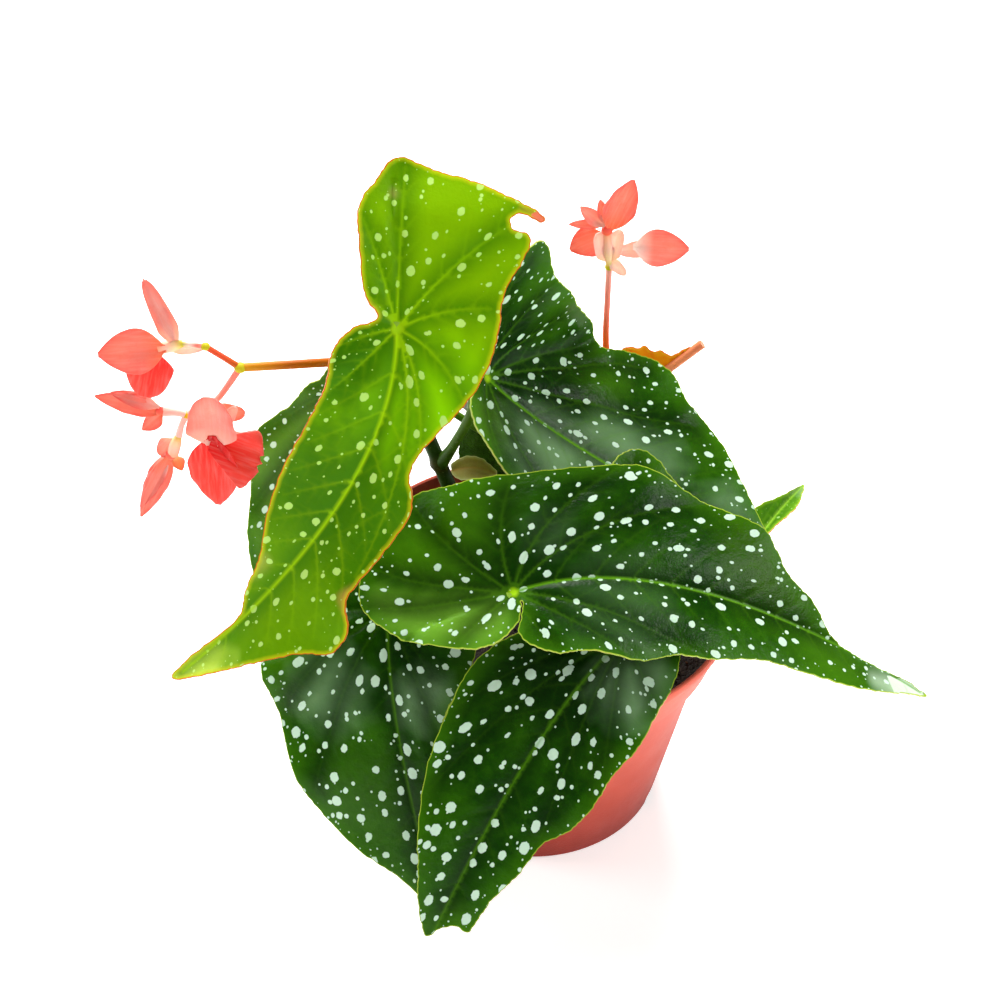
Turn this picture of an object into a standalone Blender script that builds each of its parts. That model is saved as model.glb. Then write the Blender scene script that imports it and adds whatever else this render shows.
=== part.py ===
"""A potted angel wing begonia: a plastic nursery pot with soil, two canes, spotted leaves and blooms.

Sizes are in millimetres until to_metres() turns them into metres. The origin is the middle of the
pot's base, +Z is up and -Y is the front, where the large leaves hang over the rim.
"""
import math

import bpy
import numpy as np
from mathutils import Vector
from mathutils.geometry import delaunay_2d_cdt

MM = 0.001
GAP = 0.3

# Pot
POT_HEIGHT = 80.0
RIM_RADIUS = 60.0
COLLAR_HEIGHT = 16.0
COLLAR_FOOT_RADIUS = 55.4
BODY_TOP_RADIUS = 52.3
BASE_RADIUS = 41.0
WALL = 1.5
FLOOR = 2.2
POT_SIDES = 48
DRAIN_COUNT = 5
DRAIN_RADIUS = 4.0
DRAIN_SHIFT = 2 / 3

# Soil
SOIL_TOP = 71.0
SOIL_CRUMB = 1.1
SOIL_RINGS = 6
SOIL_SIDES = 24

# Blades
LEAF_THICKNESS = 0.9
TEPAL_THICKNESS = 0.8
LEAF_SPACING = 11.0
TEPAL_SPACING = 3.2
MIDRIB_STEPS = 60
WAVE_REACH = 25.0
PETAL_STATIONS = 6

# Stems
CANE_SIDES = 8
PETIOLE_SIDES = 6
HOLE_CLEARANCE = 0.5
CANE_ROOT = 46.0

# Each blade is drawn flat, in millimetres from the joint where its stalk meets it: x runs along the
# midrib to the tip and y to the left of it. The midrib is then laid through three points in space, at
# the joint, half way and at the tip, and "faces" is where the upper side looks at those three.
# Folds lift each half from the midrib, and curls turn it further, in degrees over 50 mm of width.
LEAVES = {
    "leaf_lime": dict(
        midrib=[(-36, -20, 180), (-52, -34, 136), (-101, -38, 77)],
        faces=[(0.1, -0.85, 0.5), (0.0, -0.8, 0.6), (-0.1, -0.6, 0.8)],
        left_fold=(12, 10, 10), right_fold=(12, 12, 10),
        left_curl=(-10, -20, 0), right_curl=(-10, -20, 0), back=-8,
        wave=(1.0, 31, 0.5),
        outline=[(-3, -5), (-9, -8), (-20, -9), (-30, -9), (-36, -4), (-41, 2), (-38, 12), (-36, 20),
                 (-32, 29), (-29, 36), (-28, 31), (-26, 28), (-23, 33), (-18, 32), (-9, 27), (1, 25),
                 (11, 21), (23, 14), (32, 12), (40, 17), (52, 17), (67, 17), (73, 23), (81, 24),
                 (88, 18), (100, 12), (110, 8), (128, 0), (118, -2), (98, -1), (88, -5), (77, -8),
                 (63, -14), (48, -17), (31, -17), (18, -16), (7, -16), (0, -12)]),
    "leaf_centre": dict(
        midrib=[(-7, -47, 117), (43, -39, 110), (110, -39, 70)],
        faces=[(0.0, -0.5, 0.87), (0.1, -0.42, 0.9), (0.35, -0.4, 0.85)],
        left_fold=(10, 12, 10), right_fold=(5, 5, 10),
        left_curl=(-20, -10, 0), right_curl=(-10, -40, 0), back=-10,
        wave=(1.0, 37, 2.0),
        outline=[(0.6, -4.5), (-1.7, -8), (-7, -10.8), (-13, -11), (-20, -8), (-31, -1), (-37, 6),
                 (-39, 12), (-36, 20), (-28, 28), (-21, 34), (-14, 35), (-7, 33), (0, 32), (10, 31),
                 (23, 31), (34, 31), (47, 26), (57, 24), (66, 22), (71, 17), (76, 12), (85, 8), (93, 2),
                 (101, 0), (112, 0), (122, 1), (130, 0), (123, -3), (114, -7), (101, -11), (86, -13),
                 (73, -14), (58, -18), (46, -19), (34, -22), (17, -20), (8, -19), (3, -16), (0, -12.6),
                 (-0.4, -9), (1.3, -6), (1.8, -4), (1, -3)]),
    "leaf_upper_right": dict(
        midrib=[(-14, 3, 150), (19, -1, 124), (72, -9, 97)],
        faces=[(0.1, -0.3, 0.95), (0.3, -0.3, 0.9), (0.4, -0.3, 0.85)],
        left_fold=(8, 8, 8), right_fold=(0, 0, 5),
        left_curl=(0, 0, 0), right_curl=(-10, -10, 0), back=0, crease=(50, 55, 8),
        wave=(1.0, 29, 1.0),
        outline=[(-3, -4), (-12, 0), (-22, 6), (-30, 14), (-34, 23), (-32, 27), (-21, 27), (-9, 30),
                 (4, 31.5), (13, 34.5), (20, 36), (27, 32), (31, 33), (38, 37), (46, 40.5), (53, 38),
                 (59, 31), (68, 28), (75, 24.5), (83, 15.5), (91, 8), (101, 0.5), (94, -5), (80, -13),
                 (60, -20), (40, -24), (24, -23), (15, -21), (9, -18), (3, -15), (-1, -11), (-2, -7)]),
    "leaf_front": dict(
        midrib=[(22, -47, 100), (-2, -67, 78), (-29, -91, 31)],
        faces=[(-0.1, -0.7, 0.7), (0.0, -0.75, 0.65), (0.0, -0.9, 0.45)],
        left_fold=(5, 5, 5), right_fold=(5, 5, 5),
        left_curl=(0, -10, 0), right_curl=(0, -20, 0), back=0,
        wave=(1.0, 33, 0.0),
        outline=[(3, -3), (8, -14), (17, -22), (28, -26), (40, -25), (56, -22), (72, -16), (80, -12),
                 (89, -8), (98, -2), (95, 1), (92, 4), (92, 8), (88, 9), (80, 10), (70, 13), (59, 15),
                 (52, 19), (42, 21), (31, 21), (20, 22), (8, 20), (-1, 18), (-9, 13), (-15, 6),
                 (-13, 0), (-7, -3)]),
    "leaf_lower_left": dict(
        midrib=[(-41, -36, 100), (-38, -57, 73), (-28, -76, 24)],
        faces=[(-0.3, -0.7, 0.6), (-0.2, -0.85, 0.5), (-0.1, -0.9, 0.4)],
        left_fold=(-10, -2, 0), right_fold=(0, 0, 0),
        left_curl=(0, 0, 0), right_curl=(-20, -20, 0), back=0,
        wave=(1.0, 30, 1.5),
        outline=[(-3, -2), (-10, -6), (-14, -15), (-10, -28), (2, -37), (14, -40), (24, -37), (42, -33),
                 (54, -28), (66, -19), (76, -9), (88, -1), (84, 5), (68, 11), (46, 14), (32, 13),
                 (22, 19), (12, 24), (2, 21), (-4, 13), (-5, 4)]),
    "leaf_left_rear": dict(
        midrib=[(-47, 3, 148), (-65, 3, 108), (-83, -3, 62)],
        faces=[(-0.1, -0.6, 0.75), (-0.2, -0.7, 0.65), (-0.2, -0.8, 0.5)],
        left_fold=(5, 5, 5), right_fold=(5, 5, 5),
        left_curl=(0, 0, 0), right_curl=(0, 0, 0), back=0,
        wave=(1.0, 26, 1.0),
        outline=[(-3, -2), (-10, -4), (-8, -10), (0, -12), (7, -12), (13, -15), (21, -17), (36, -23),
                 (52, -18), (69, -12), (82, -5), (94, 0), (84, 6), (66, 11), (46, 14), (28, 14),
                 (14, 10), (3, 5)]),
    "leaf_under_centre": dict(
        midrib=[(28, -15.2, 125.2), (36, -18.2, 118.7), (45, -21.2, 110.7)],
        faces=[(0.1, -0.4, 0.9), (0.1, -0.4, 0.9), (0.2, -0.4, 0.88)],
        left_fold=(5, 5, 5), right_fold=(5, 5, 5),
        left_curl=(0, 0, 0), right_curl=(-20, -20, 0), back=0,
        wave=(0.5, 20, 0.0),
        outline=[(0, -3), (-6, -5), (-11, -1), (-10.5, 5), (-8.7, 8), (-5.6, 9.8), (-1.5, 10), (3, 9),
                 (9, 8), (16, 5), (25, 0), (17, -5), (8, -7)]),
    "leaf_right_tip": dict(
        midrib=[(63, 4, 84), (73, 22, 84), (87, 45, 80)],
        faces=[(0.0, -0.3, 0.95), (0.1, -0.3, 0.95), (0.1, -0.3, 0.85)],
        left_fold=(20, 20, 20), right_fold=(20, 20, 20),
        left_curl=(0, 0, 0), right_curl=(0, 0, 0), back=0,
        wave=(0.3, 15, 0.0),
        outline=[(-2, 0), (-2, 4), (6, 7), (20, 6.2), (34, 2.6), (48, 0), (41, -2.4), (33, -3.9), (26, -3.6),
                 (19, -2.5), (12, -2), (4, -4), (-1, -3)]),
    "leaf_rear": dict(
        midrib=[(-6, 34, 122), (-4, 57, 96), (0, 80, 60)],
        faces=[(0.0, 0.5, 0.85), (0.0, 0.75, 0.65), (0.0, 0.85, 0.5)],
        left_fold=(8, 8, 8), right_fold=(8, 8, 8),
        left_curl=(-20, -20, 0), right_curl=(-20, -20, 0), back=-10,
        wave=(1.0, 24, 0.7),
        outline=[(-3, -2), (-9, -8), (-6, -17), (6, -20), (20, -19), (36, -15), (52, -7), (66, 0),
                 (52, 6), (34, 14), (16, 19), (2, 21), (-11, 18), (-15, 9), (-9, 3)]),
    "leaf_inner": dict(
        midrib=[(-15, 24, 124), (-8, 33, 106), (-2, 38, 86)],
        faces=[(0.1, 0.85, 0.5), (0.05, 0.9, 0.4), (0.0, 0.95, 0.25)],
        left_fold=(5, 5, 5), right_fold=(5, 5, 5),
        left_curl=(-10, -10, 0), right_curl=(-10, -10, 0), back=0,
        wave=(0.6, 20, 0.4),
        outline=[(-2, -2), (-5, -6), (0, -9), (8, -10), (18, -9), (30, -7), (42, -3), (50, 1), (45, 9),
                 (35, 17), (27, 18), (18, 14), (8, 9), (-2, 4)]),
    "young_leaf": dict(
        midrib=[(36, 41, 124), (42, 41, 131), (49, 41, 138)],
        faces=[(0.0, -0.9, 0.4), (0.0, -0.9, 0.4), (0.0, -0.9, 0.4)],
        left_fold=(0, 0, 0), right_fold=(0, 0, 0),
        left_curl=(30, 30, 30), right_curl=(0, 0, 0), back=0,
        wave=(1.0, 7, 0.0),
        outline=[(0, -1), (-4, 3), (-4, 9), (0, 14), (4, 15), (7, 10), (10, 4), (15, 1), (15, -1),
                 (6, -1)]),
    "stipule": dict(
        midrib=[(-24.6, 17, 107.5), (-18, 16, 109.5), (-11.5, 14.5, 108)],
        faces=[(0.0, -0.5, 0.85), (0.0, -0.6, 0.8), (0.0, -0.5, 0.85)],
        left_fold=(0, 0, 0), right_fold=(0, 0, 0),
        left_curl=(40, 40, 40), right_curl=(40, 40, 40), back=0,
        wave=(0.4, 9, 0.0),
        outline=[(-0.2, -1.5), (0.3, 2), (5, 3.5), (10, 2.5), (14, 0), (10, -3.5), (4, -4)]),
}


def through(values, t):
    """A number or a point that runs through three given ones, at t = 0, 0.5 and 1."""
    start, half, end = [np.asarray(value, float) for value in values]
    t = np.clip(np.asarray(t, float), 0.0, 1.0)
    if start.ndim:
        t = t[..., None]
    return start * (1 - t) * (1 - 2 * t) + 4 * half * t * (1 - t) + end * t * (2 * t - 1)


def unit(vectors):
    """Vectors brought to a length of one."""
    return vectors / np.linalg.norm(vectors, axis=-1, keepdims=True)


def rounded(points, pieces):
    """A closed smooth curve through an outline's points, with each span cut into pieces."""
    points = np.array(points, float)
    before, after, later = np.roll(points, 1, 0), np.roll(points, -1, 0), np.roll(points, -2, 0)
    curve = []
    for s in np.arange(pieces) / pieces:
        curve.append(0.5 * (2 * points + (after - before) * s
                            + (2 * before - 5 * points + 4 * after - later) * s ** 2
                            + (3 * points - before - 3 * after + later) * s ** 3))
    return np.stack(curve, 1).reshape(-1, 2)


def midrib_table(blade):
    """Distances along a midrib, with its points, directions, left sides and upper sides there."""
    t = np.linspace(0, 1, MIDRIB_STEPS + 1)
    points = through(blade["midrib"], t)
    along = np.r_[0, np.cumsum(np.linalg.norm(np.diff(points, axis=0), axis=1))]
    ahead = unit(np.gradient(points, axis=0))
    left = unit(np.cross(through(blade["faces"], t), ahead))
    return along, points, ahead, left, np.cross(ahead, left)


def creased(blade, x, y):
    """Bends a flat blade up beyond a straight line through its joint, if it has such a crease."""
    if "crease" not in blade:
        return x, y, np.zeros_like(x)
    turn, lift, width = blade["crease"]
    c, s = math.cos(math.radians(turn)), math.sin(math.radians(turn))
    beyond = c * y - s * x
    bend = math.radians(lift) / width
    bent = np.clip(beyond, 0, width)
    straight = np.clip(beyond - width, 0, None)
    turned = np.sin(bend * bent) / bend + straight * math.cos(bend * width)
    across = np.where(beyond < 0, beyond, turned)
    raised = (1 - np.cos(bend * bent)) / bend + straight * math.sin(bend * width)
    along = c * x + s * y
    return c * along - s * across, s * along + c * across, raised


def blade_points(blade, flat):
    """Lays flat blade points in space, along the midrib and with the blade's folds and waves."""
    flat = np.asarray(flat, float)
    x, y, raised = creased(blade, flat[:, 0], flat[:, 1])
    along, *table = midrib_table(blade)
    on_midrib = np.clip(x, 0, along[-1])
    point, ahead, left, upper = [
        np.stack([np.interp(on_midrib, along, column) for column in rows.T], -1) for rows in table]
    over = x - on_midrib
    back = np.radians(blade["back"]) * (x < 0)
    point = point + (over * np.cos(back))[:, None] * ahead - (over * np.sin(back))[:, None] * upper
    t = np.clip(x / along[-1], 0, 1)
    out = np.abs(y)
    fold = np.radians(np.where(y > 0, through(blade["left_fold"], t), through(blade["right_fold"], t)))
    curl = np.radians(np.where(y > 0, through(blade["left_curl"], t), through(blade["right_curl"], t)))
    curl = np.where(np.abs(curl) < 1e-6, 1e-6, curl) / 50
    side = (np.sin(fold + curl * out) - np.sin(fold)) / curl * np.sign(y)
    lift = (np.cos(fold) - np.cos(fold + curl * out)) / curl + raised
    height, length, start = blade["wave"]
    margin = np.clip(np.hypot(np.minimum(x, 0), y) / WAVE_REACH, 0, 1.2) ** 2
    lift = lift + height * margin * np.sin(2 * np.pi * flat[:, 0] / length + start * np.sign(y))
    return point + side[:, None] * left + lift[:, None] * upper


def inside(outline, points):
    """Which points lie inside a closed outline."""
    x, y = points.T
    crossings = np.zeros(len(points), int)
    for (x0, y0), (x1, y1) in zip(outline, np.roll(outline, -1, 0)):
        level = (y0 > y) != (y1 > y)
        where = x0 + (y - y0) * (x1 - x0) / ((y1 - y0) or 1e-9)
        crossings += level & (x < where)
    return crossings % 2 == 1


def keep_clear(points, others, distance):
    """The points that lie further than a distance from all the others."""
    nearest = np.linalg.norm(points[:, None] - others[None], axis=2).min(1)
    return points[nearest > distance]


def sheet(outline, reach, spacing):
    """Triangles over a flat outline, with inner points along the midrib and on a staggered grid."""
    low, high = outline.min(0), outline.max(0)
    rows = np.arange(low[1], high[1], spacing * 0.87)
    grid = [(x + spacing / 2 * (i % 2), y) for i, y in enumerate(rows)
            for x in np.arange(low[0], high[0], spacing)]
    rib = np.array([(x, 0) for x in np.arange(0, reach - spacing / 2, spacing)])
    kept = keep_clear(rib[inside(outline, rib)], outline, spacing * 0.2)
    grid = np.array(grid)
    grid = keep_clear(grid[inside(outline, grid)], np.r_[outline, kept], spacing * 0.45)
    flat = [Vector(point) for point in np.r_[outline, kept, grid]]
    ring = list(range(len(outline)))
    points, _, faces, *_ = delaunay_2d_cdt(flat, [], [ring], 1, 1e-5)
    return np.array([tuple(point) for point in points]), faces


def to_metres(points):
    """Millimetres to Blender's metres."""
    return [tuple(float(value) * MM for value in point) for point in points]


def new_object(name, points, faces, material, smooth=True):
    """An object in the scene from points in millimetres."""
    mesh = bpy.data.meshes.new(name)
    mesh.from_pydata(to_metres(points), [], faces)
    mesh.materials.append(material)
    if smooth:
        mesh.shade_smooth()
        mesh.set_sharp_from_angle(angle=math.radians(50))
    obj = bpy.data.objects.new(name, mesh)
    bpy.context.scene.collection.objects.link(obj)
    return obj


def apply_modifiers(obj):
    """Keeps an object's evaluated mesh as its own and drops the modifiers."""
    graph = bpy.context.evaluated_depsgraph_get()
    mesh = bpy.data.meshes.new_from_object(obj.evaluated_get(graph))
    obj.modifiers.clear()
    obj.data = mesh
    return obj


def blade_object(name, blade, spacing, thickness, material, pieces=2):
    """A solid blade: one bent sheet of triangles, given its thickness alike on both faces."""
    reach = midrib_table(blade)[0][-1]
    flat, faces = sheet(rounded(blade["outline"], pieces), reach, spacing)
    obj = new_object(name, blade_points(blade, flat), faces, material)
    solidify = obj.modifiers.new("thickness", "SOLIDIFY")
    solidify.thickness = thickness * MM
    solidify.offset = 0.0
    return apply_modifiers(obj)


def smooth_path(points, pieces):
    """An open smooth curve through points, each given as x, y, z and a radius."""
    points = np.array(points, float)
    ends = np.r_[[2 * points[0] - points[1]], points, [2 * points[-1] - points[-2]]]
    curve = []
    for before, start, end, after in zip(ends, ends[1:], ends[2:], ends[3:]):
        for s in np.arange(pieces) / pieces:
            curve.append(0.5 * (2 * start + (end - before) * s
                                + (2 * before - 5 * start + 4 * end - after) * s ** 2
                                + (3 * start - before - 3 * end + after) * s ** 3))
    return np.array(curve + [points[-1]])


def tube(name, points, sides, material, pieces=3):
    """A closed round stem along a smooth path, with its radius given at each point."""
    path = smooth_path(points, pieces)
    centres, radii = path[:, :3], path[:, 3]
    ahead = unit(np.gradient(centres, axis=0))
    across = unit(np.cross(ahead[0], [0.3, 0.9, 0.1]))
    turns = 2 * np.pi * np.arange(sides) / sides
    rings = []
    for centre, direction, radius in zip(centres, ahead, radii):
        across = unit(across - direction * np.dot(across, direction))
        other = np.cross(direction, across)
        rings.append(centre + radius * (np.cos(turns)[:, None] * across + np.sin(turns)[:, None] * other))
    faces = []
    for ring in range(len(rings) - 1):
        for k in range(sides):
            a, b = ring * sides + k, ring * sides + (k + 1) % sides
            faces.append((a, b, b + sides, a + sides))
    last = (len(rings) - 1) * sides
    faces.append(tuple(range(sides - 1, -1, -1)))
    faces.append(tuple(range(last, last + sides)))
    return new_object(name, np.concatenate(rings), faces, material)


def turned(name, profile, sides, material):
    """A closed solid turned round Z from a profile whose first and last points lie on the axis."""
    inner = profile[1:-1]
    turns = 2 * np.pi * np.arange(sides) / sides
    points = [(r * math.cos(a), r * math.sin(a), z) for r, z in inner for a in turns]
    faces = []
    for ring in range(len(inner) - 1):
        for k in range(sides):
            a, b = ring * sides + k, ring * sides + (k + 1) % sides
            faces.append((a, b, b + sides, a + sides))
    first, last = len(points), len(points) + 1
    points += [(0, 0, profile[0][1]), (0, 0, profile[-1][1])]
    end = (len(inner) - 1) * sides
    for k in range(sides):
        faces.append((first, (k + 1) % sides, k))
        faces.append((last, end + k, end + (k + 1) % sides))
    return new_object(name, points, faces, material)


def boolean(obj, others, operation):
    """One Boolean of an object with a collection of others, which are then removed."""
    group = bpy.data.collections.new("boolean operands")
    for other in others:
        group.objects.link(other)
    step = obj.modifiers.new(operation.lower(), "BOOLEAN")
    step.operation = operation
    step.operand_type = "COLLECTION"
    step.collection = group
    step.solver = "EXACT"
    apply_modifiers(obj)
    for other in others:
        bpy.data.objects.remove(other, do_unlink=True)
    bpy.data.collections.remove(group)
    return obj


def fuse(name, pieces, material):
    """Several closed pieces that grow together, joined in one solid."""
    first, *others = pieces
    obj = boolean(first, others, "UNION") if others else first
    obj.name = name
    obj.data.materials.clear()
    obj.data.materials.append(material)
    return obj


def material(name, colour, roughness):
    """A plain finish from its colour and roughness."""
    made = bpy.data.materials.new(name)
    made.use_nodes = True
    shader = made.node_tree.nodes["Principled BSDF"]
    shader.inputs["Base Color"].default_value = (*colour, 1)
    shader.inputs["Roughness"].default_value = roughness
    return made


def inner_radius(z):
    """The pot's inner radius at a height inside its collar."""
    ledge = POT_HEIGHT - COLLAR_HEIGHT + WALL
    slope = (RIM_RADIUS - COLLAR_FOOT_RADIUS) / (POT_HEIGHT - ledge)
    return COLLAR_FOOT_RADIUS - WALL + slope * (z - ledge)


def make_pot(finish):
    """The thin-walled pot, with a collar under its rim and drain holes round its floor."""
    foot = POT_HEIGHT - COLLAR_HEIGHT
    profile = [(0, 0), (BASE_RADIUS - 1, 0), (BASE_RADIUS, 1), (BODY_TOP_RADIUS, foot),
               (COLLAR_FOOT_RADIUS, foot), (RIM_RADIUS, POT_HEIGHT - 1), (RIM_RADIUS - 0.4, POT_HEIGHT),
               (RIM_RADIUS - WALL, POT_HEIGHT), (COLLAR_FOOT_RADIUS - WALL, foot + WALL),
               (BODY_TOP_RADIUS - WALL, foot + WALL), (BASE_RADIUS - WALL, FLOOR), (0, FLOOR)]
    pot = turned("pot", profile, POT_SIDES, finish)
    drains = []
    for k in range(DRAIN_COUNT):
        turn = 2 * math.pi * (k + DRAIN_SHIFT) / DRAIN_COUNT
        place = [(BASE_RADIUS - 2) * math.cos(turn), (BASE_RADIUS - 2) * math.sin(turn)]
        drains.append(tube("drain", [(*place, -5, DRAIN_RADIUS), (*place, 4.5, DRAIN_RADIUS)], 12, finish))
    return boolean(pot, drains, "DIFFERENCE")


def crumb_height(x, y):
    """How far the soil's surface rises or falls at a place, in soft uneven waves."""
    return SOIL_CRUMB * math.sin(0.31 * x + 1.3) * math.cos(0.27 * y + 0.4 * math.sin(0.2 * x))


def make_soil(finish, canes):
    """Soil that fills the pot to under its rim, crumbly on top, with a plain hole for each cane."""
    ledge = POT_HEIGHT - COLLAR_HEIGHT + WALL + GAP
    reach = WALL + GAP
    top_radius = inner_radius(SOIL_TOP - SOIL_CRUMB) - GAP
    profile = [(0, FLOOR + GAP), (BASE_RADIUS - reach - 0.6, FLOOR + GAP),
               (BODY_TOP_RADIUS - reach - 0.1, ledge), (COLLAR_FOOT_RADIUS - reach - 0.3, ledge + 0.1),
               (top_radius, SOIL_TOP - SOIL_CRUMB)]
    for ring in range(SOIL_RINGS - 1, 0, -1):
        profile.append((top_radius * ring / SOIL_RINGS, SOIL_TOP))
    profile.append((0, SOIL_TOP))
    soil = turned("soil", profile, SOIL_SIDES, finish)
    for vertex in soil.data.vertices:
        x, y, z = vertex.co / MM
        if z > SOIL_TOP - SOIL_CRUMB / 2:
            vertex.co.z += crumb_height(x, y) * MM
    holes = []
    for cane in canes.values():
        path = [(x, y, z, radius + HOLE_CLEARANCE) for x, y, z, radius in cane["stem"][:2]]
        lowest, above = path
        path[0] = (*lowest[:2], lowest[2] - HOLE_CLEARANCE, lowest[3])
        high = [a + (a - b) * 0.4 for a, b in zip(above[:3], lowest[:3])]
        holes.append(tube("hole", path + [(*high, above[3])], CANE_SIDES, finish, pieces=1))
    return boolean(soil, holes, "DIFFERENCE")


def petiole(blade, path, radius):
    """A leaf stalk's points from its cane to just under the joint of its blade."""
    _, points, _, _, upper = midrib_table(blade)
    end = points[0] - upper[0] * (LEAF_THICKNESS / 2 + 2 * GAP)
    below = end - upper[0] * 5
    return [(*point, radius) for point in path + [tuple(below), tuple(end)]]


def make_cane(name, cane, finish):
    """A cane with its node rings and the stalks that leave it, grown together."""
    pieces = [tube("stem", cane["stem"], CANE_SIDES, finish)]
    for x, y, z, radius in cane["nodes"]:
        ring = [(x, y, z - 1.6, radius * 0.8), (x, y, z, radius), (x, y, z + 1.6, radius * 0.8)]
        pieces.append(tube("node", ring, CANE_SIDES, finish, pieces=1))
    for leaf, (radius, *path) in cane["petioles"].items():
        points = petiole(LEAVES[leaf], path, radius)
        pieces.append(tube("petiole", points, PETIOLE_SIDES, finish))
    return fuse(name, pieces, finish)


# Canes, with x, y, z and the radius at each point, and the stalks' radii and first points
CANES = {
    "cane_front": dict(
        stem=[(-14, 14, CANE_ROOT, 2.8), (-17.5, 15.5, 66, 2.7), (-21.5, 17, 86, 2.5), (-25.2, 18, 99, 2.3),
              (-28.6, 18, 110, 2.2), (-31.8, 18, 120, 2.2), (-36, 15, 136, 2.2), (-39, 9, 151, 2.1),
              (-40, 2, 162, 2.0)],
        nodes=[(-21.5, 17, 86, 3.1), (-28.6, 18, 110, 2.8), (-36, 15, 136, 2.8)],
        petioles={
            "leaf_lime": (1.5, (-39.5, 4, 160), (-40, -5, 169)),
            "leaf_upper_right": (1.5, (-28, 17.5, 110), (-24, 14, 119), (-18.5, 9.5, 134)),
            "leaf_inner": (1.2, (-33.4, 17, 125.5), (-26.5, 19.5, 128)),
            "leaf_left_rear": (1.3, (-36, 14, 138), (-42, 12, 143)),
            "leaf_centre": (1.5, (-20, 16, 80), (-15, -8, 96), (-9, -32, 106)),
            "leaf_lower_left": (1.4, (-23.3, 17.3, 92), (-31, 2, 98), (-36.5, -19, 96), (-38.5, -27, 95.5)),
        }),
    "cane_rear": dict(
        stem=[(11, 17, CANE_ROOT, 2.8), (13, 21, 67, 2.8), (15, 25, 88, 2.6), (19, 32, 110, 2.4),
              (22, 38, 124, 2.0)],
        nodes=[(15, 25, 88, 3.3), (19, 32, 110, 3.0)],
        petioles={
            "leaf_front": (1.4, (14, 23, 79), (12, -4, 89), (17, -30, 93)),
            "leaf_under_centre": (1.1, (14.5, 24, 84), (19, 0, 92), (19, -26, 103), (23, -28, 113)),
            "leaf_right_tip": (1.2, (14.5, 24, 84), (40, 16, 89), (56, 8, 86)),
            "leaf_rear": (1.3, (19, 32, 110), (10, 34, 115)),
        }),
}

# Flower stalks, each a main stem with its branches
STALKS = {
    "flower_stalk_left": [
        [(-42.8, 1.2, 160.7, 1.2), (-48.5, -7, 162.5, 1.2), (-60, -16, 167.2, 1.1), (-76, -19, 168, 1.1),
         (-84, -19, 174, 0.9), (-88.8, -19, 175, 0.8)],
        [(-76, -19, 168, 1.1), (-82.5, -17, 158, 0.9), (-87, -15.5, 154, 0.8), (-92, -17, 152, 1.0)],
        [(-92, -17, 152, 0.9), (-96.2, -18.5, 154, 0.7)],
        [(-92, -17, 152, 0.9), (-94.3, -19, 147, 0.7)],
    ],
    "flower_stalk_right": [
        [(22.2, 38.5, 124.5, 1.2), (21, 43, 136, 1.0), (21, 45, 148, 0.9), (21, 45, 160, 1.0)],
    ],
}

# Blooms. A tepal or a wing runs from a root to a tip, with its width and the way that it faces.
BLOOMS = {
    "bloom_upper_left": dict(
        core=(-97.3, -20, 172.6, 2.1),
        tepals=[((-97, -20, 173), (-111, -22, 172), 10.5, (-0.1, -0.9, 0.4)),
                ((-97.5, -21, 172), (-99, -25, 159), 12.0, (0.0, -0.8, -0.6)),
                ((-98, -19, 174), (-104, -12, 177), 8.0, (0.5, 0.5, 0.7))]),
    "bloom_lower_left": dict(
        core=(-83, -21, 147.5, 2.3),
        tepals=[((-83, -22, 147.5), (-85, -23.5, 159.8), 12.5, (-0.1, -0.9, 0.3)),
                ((-84, -22, 147), (-86, -27, 125), 12.5, (0.0, -0.9, 0.2)),
                ((-82, -22, 147), (-72, -26, 136), 12.0, (0.4, -0.8, 0.4)),
                ((-82, -20, 147), (-75, -13, 144), 8.0, (0.2, 0.7, 0.6))]),
    "bud_outer": dict(
        core=(-98.2, -19.0, 154.6, 1.5),
        tepals=[((-99, -19.3, 155), (-114, -20, 159), 5.5, (0.0, -0.9, 0.4)),
                ((-99, -19.6, 154), (-104, -21, 150), 5.0, (0.0, -0.9, 0.4))]),
    "bud_lower": dict(
        core=(-96.8, -19.5, 140.5, 1.9),
        tepals=[((-97, -19.5, 139.5), (-107, -21, 121), 6.0, (0.2, -0.9, 0.3)),
                ((-96, -19.5, 139.5), (-93.5, -21, 135), 4.0, (0.2, -0.9, 0.3))]),
    "bloom_right": dict(
        core=(19.6, 44.5, 172.2, 2.0),
        tepals=[((19.8, 44, 173), (26, 42, 189), 9.0, (0.2, -0.9, 0.3)),
                ((19, 44.5, 173), (9, 43, 175), 3.2, (0.0, -0.9, 0.3)),
                ((19, 44.5, 173.5), (12, 43, 180), 4.0, (0.1, -0.9, 0.3)),
                ((19.0, 46.0, 173.6), (9.8, 50.5, 164.5), 9.5, (-0.2, -0.93, -0.35))]),
    "bloom_right_side": dict(
        core=(31.5, 44.3, 166.6, 1.9),
        tepals=[((31, 43.5, 167), (43, 42, 167), 9.0, (0.0, -0.9, 0.4)),
                ((31.4, 45.6, 166), (39, 51, 163), 7.0, (0.3, 0.7, 0.6)),
                ((31.5, 44.3, 166.6), (23.8, 44.6, 163.2), 5.0, (0.0, -0.9, 0.3))]),
}

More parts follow.
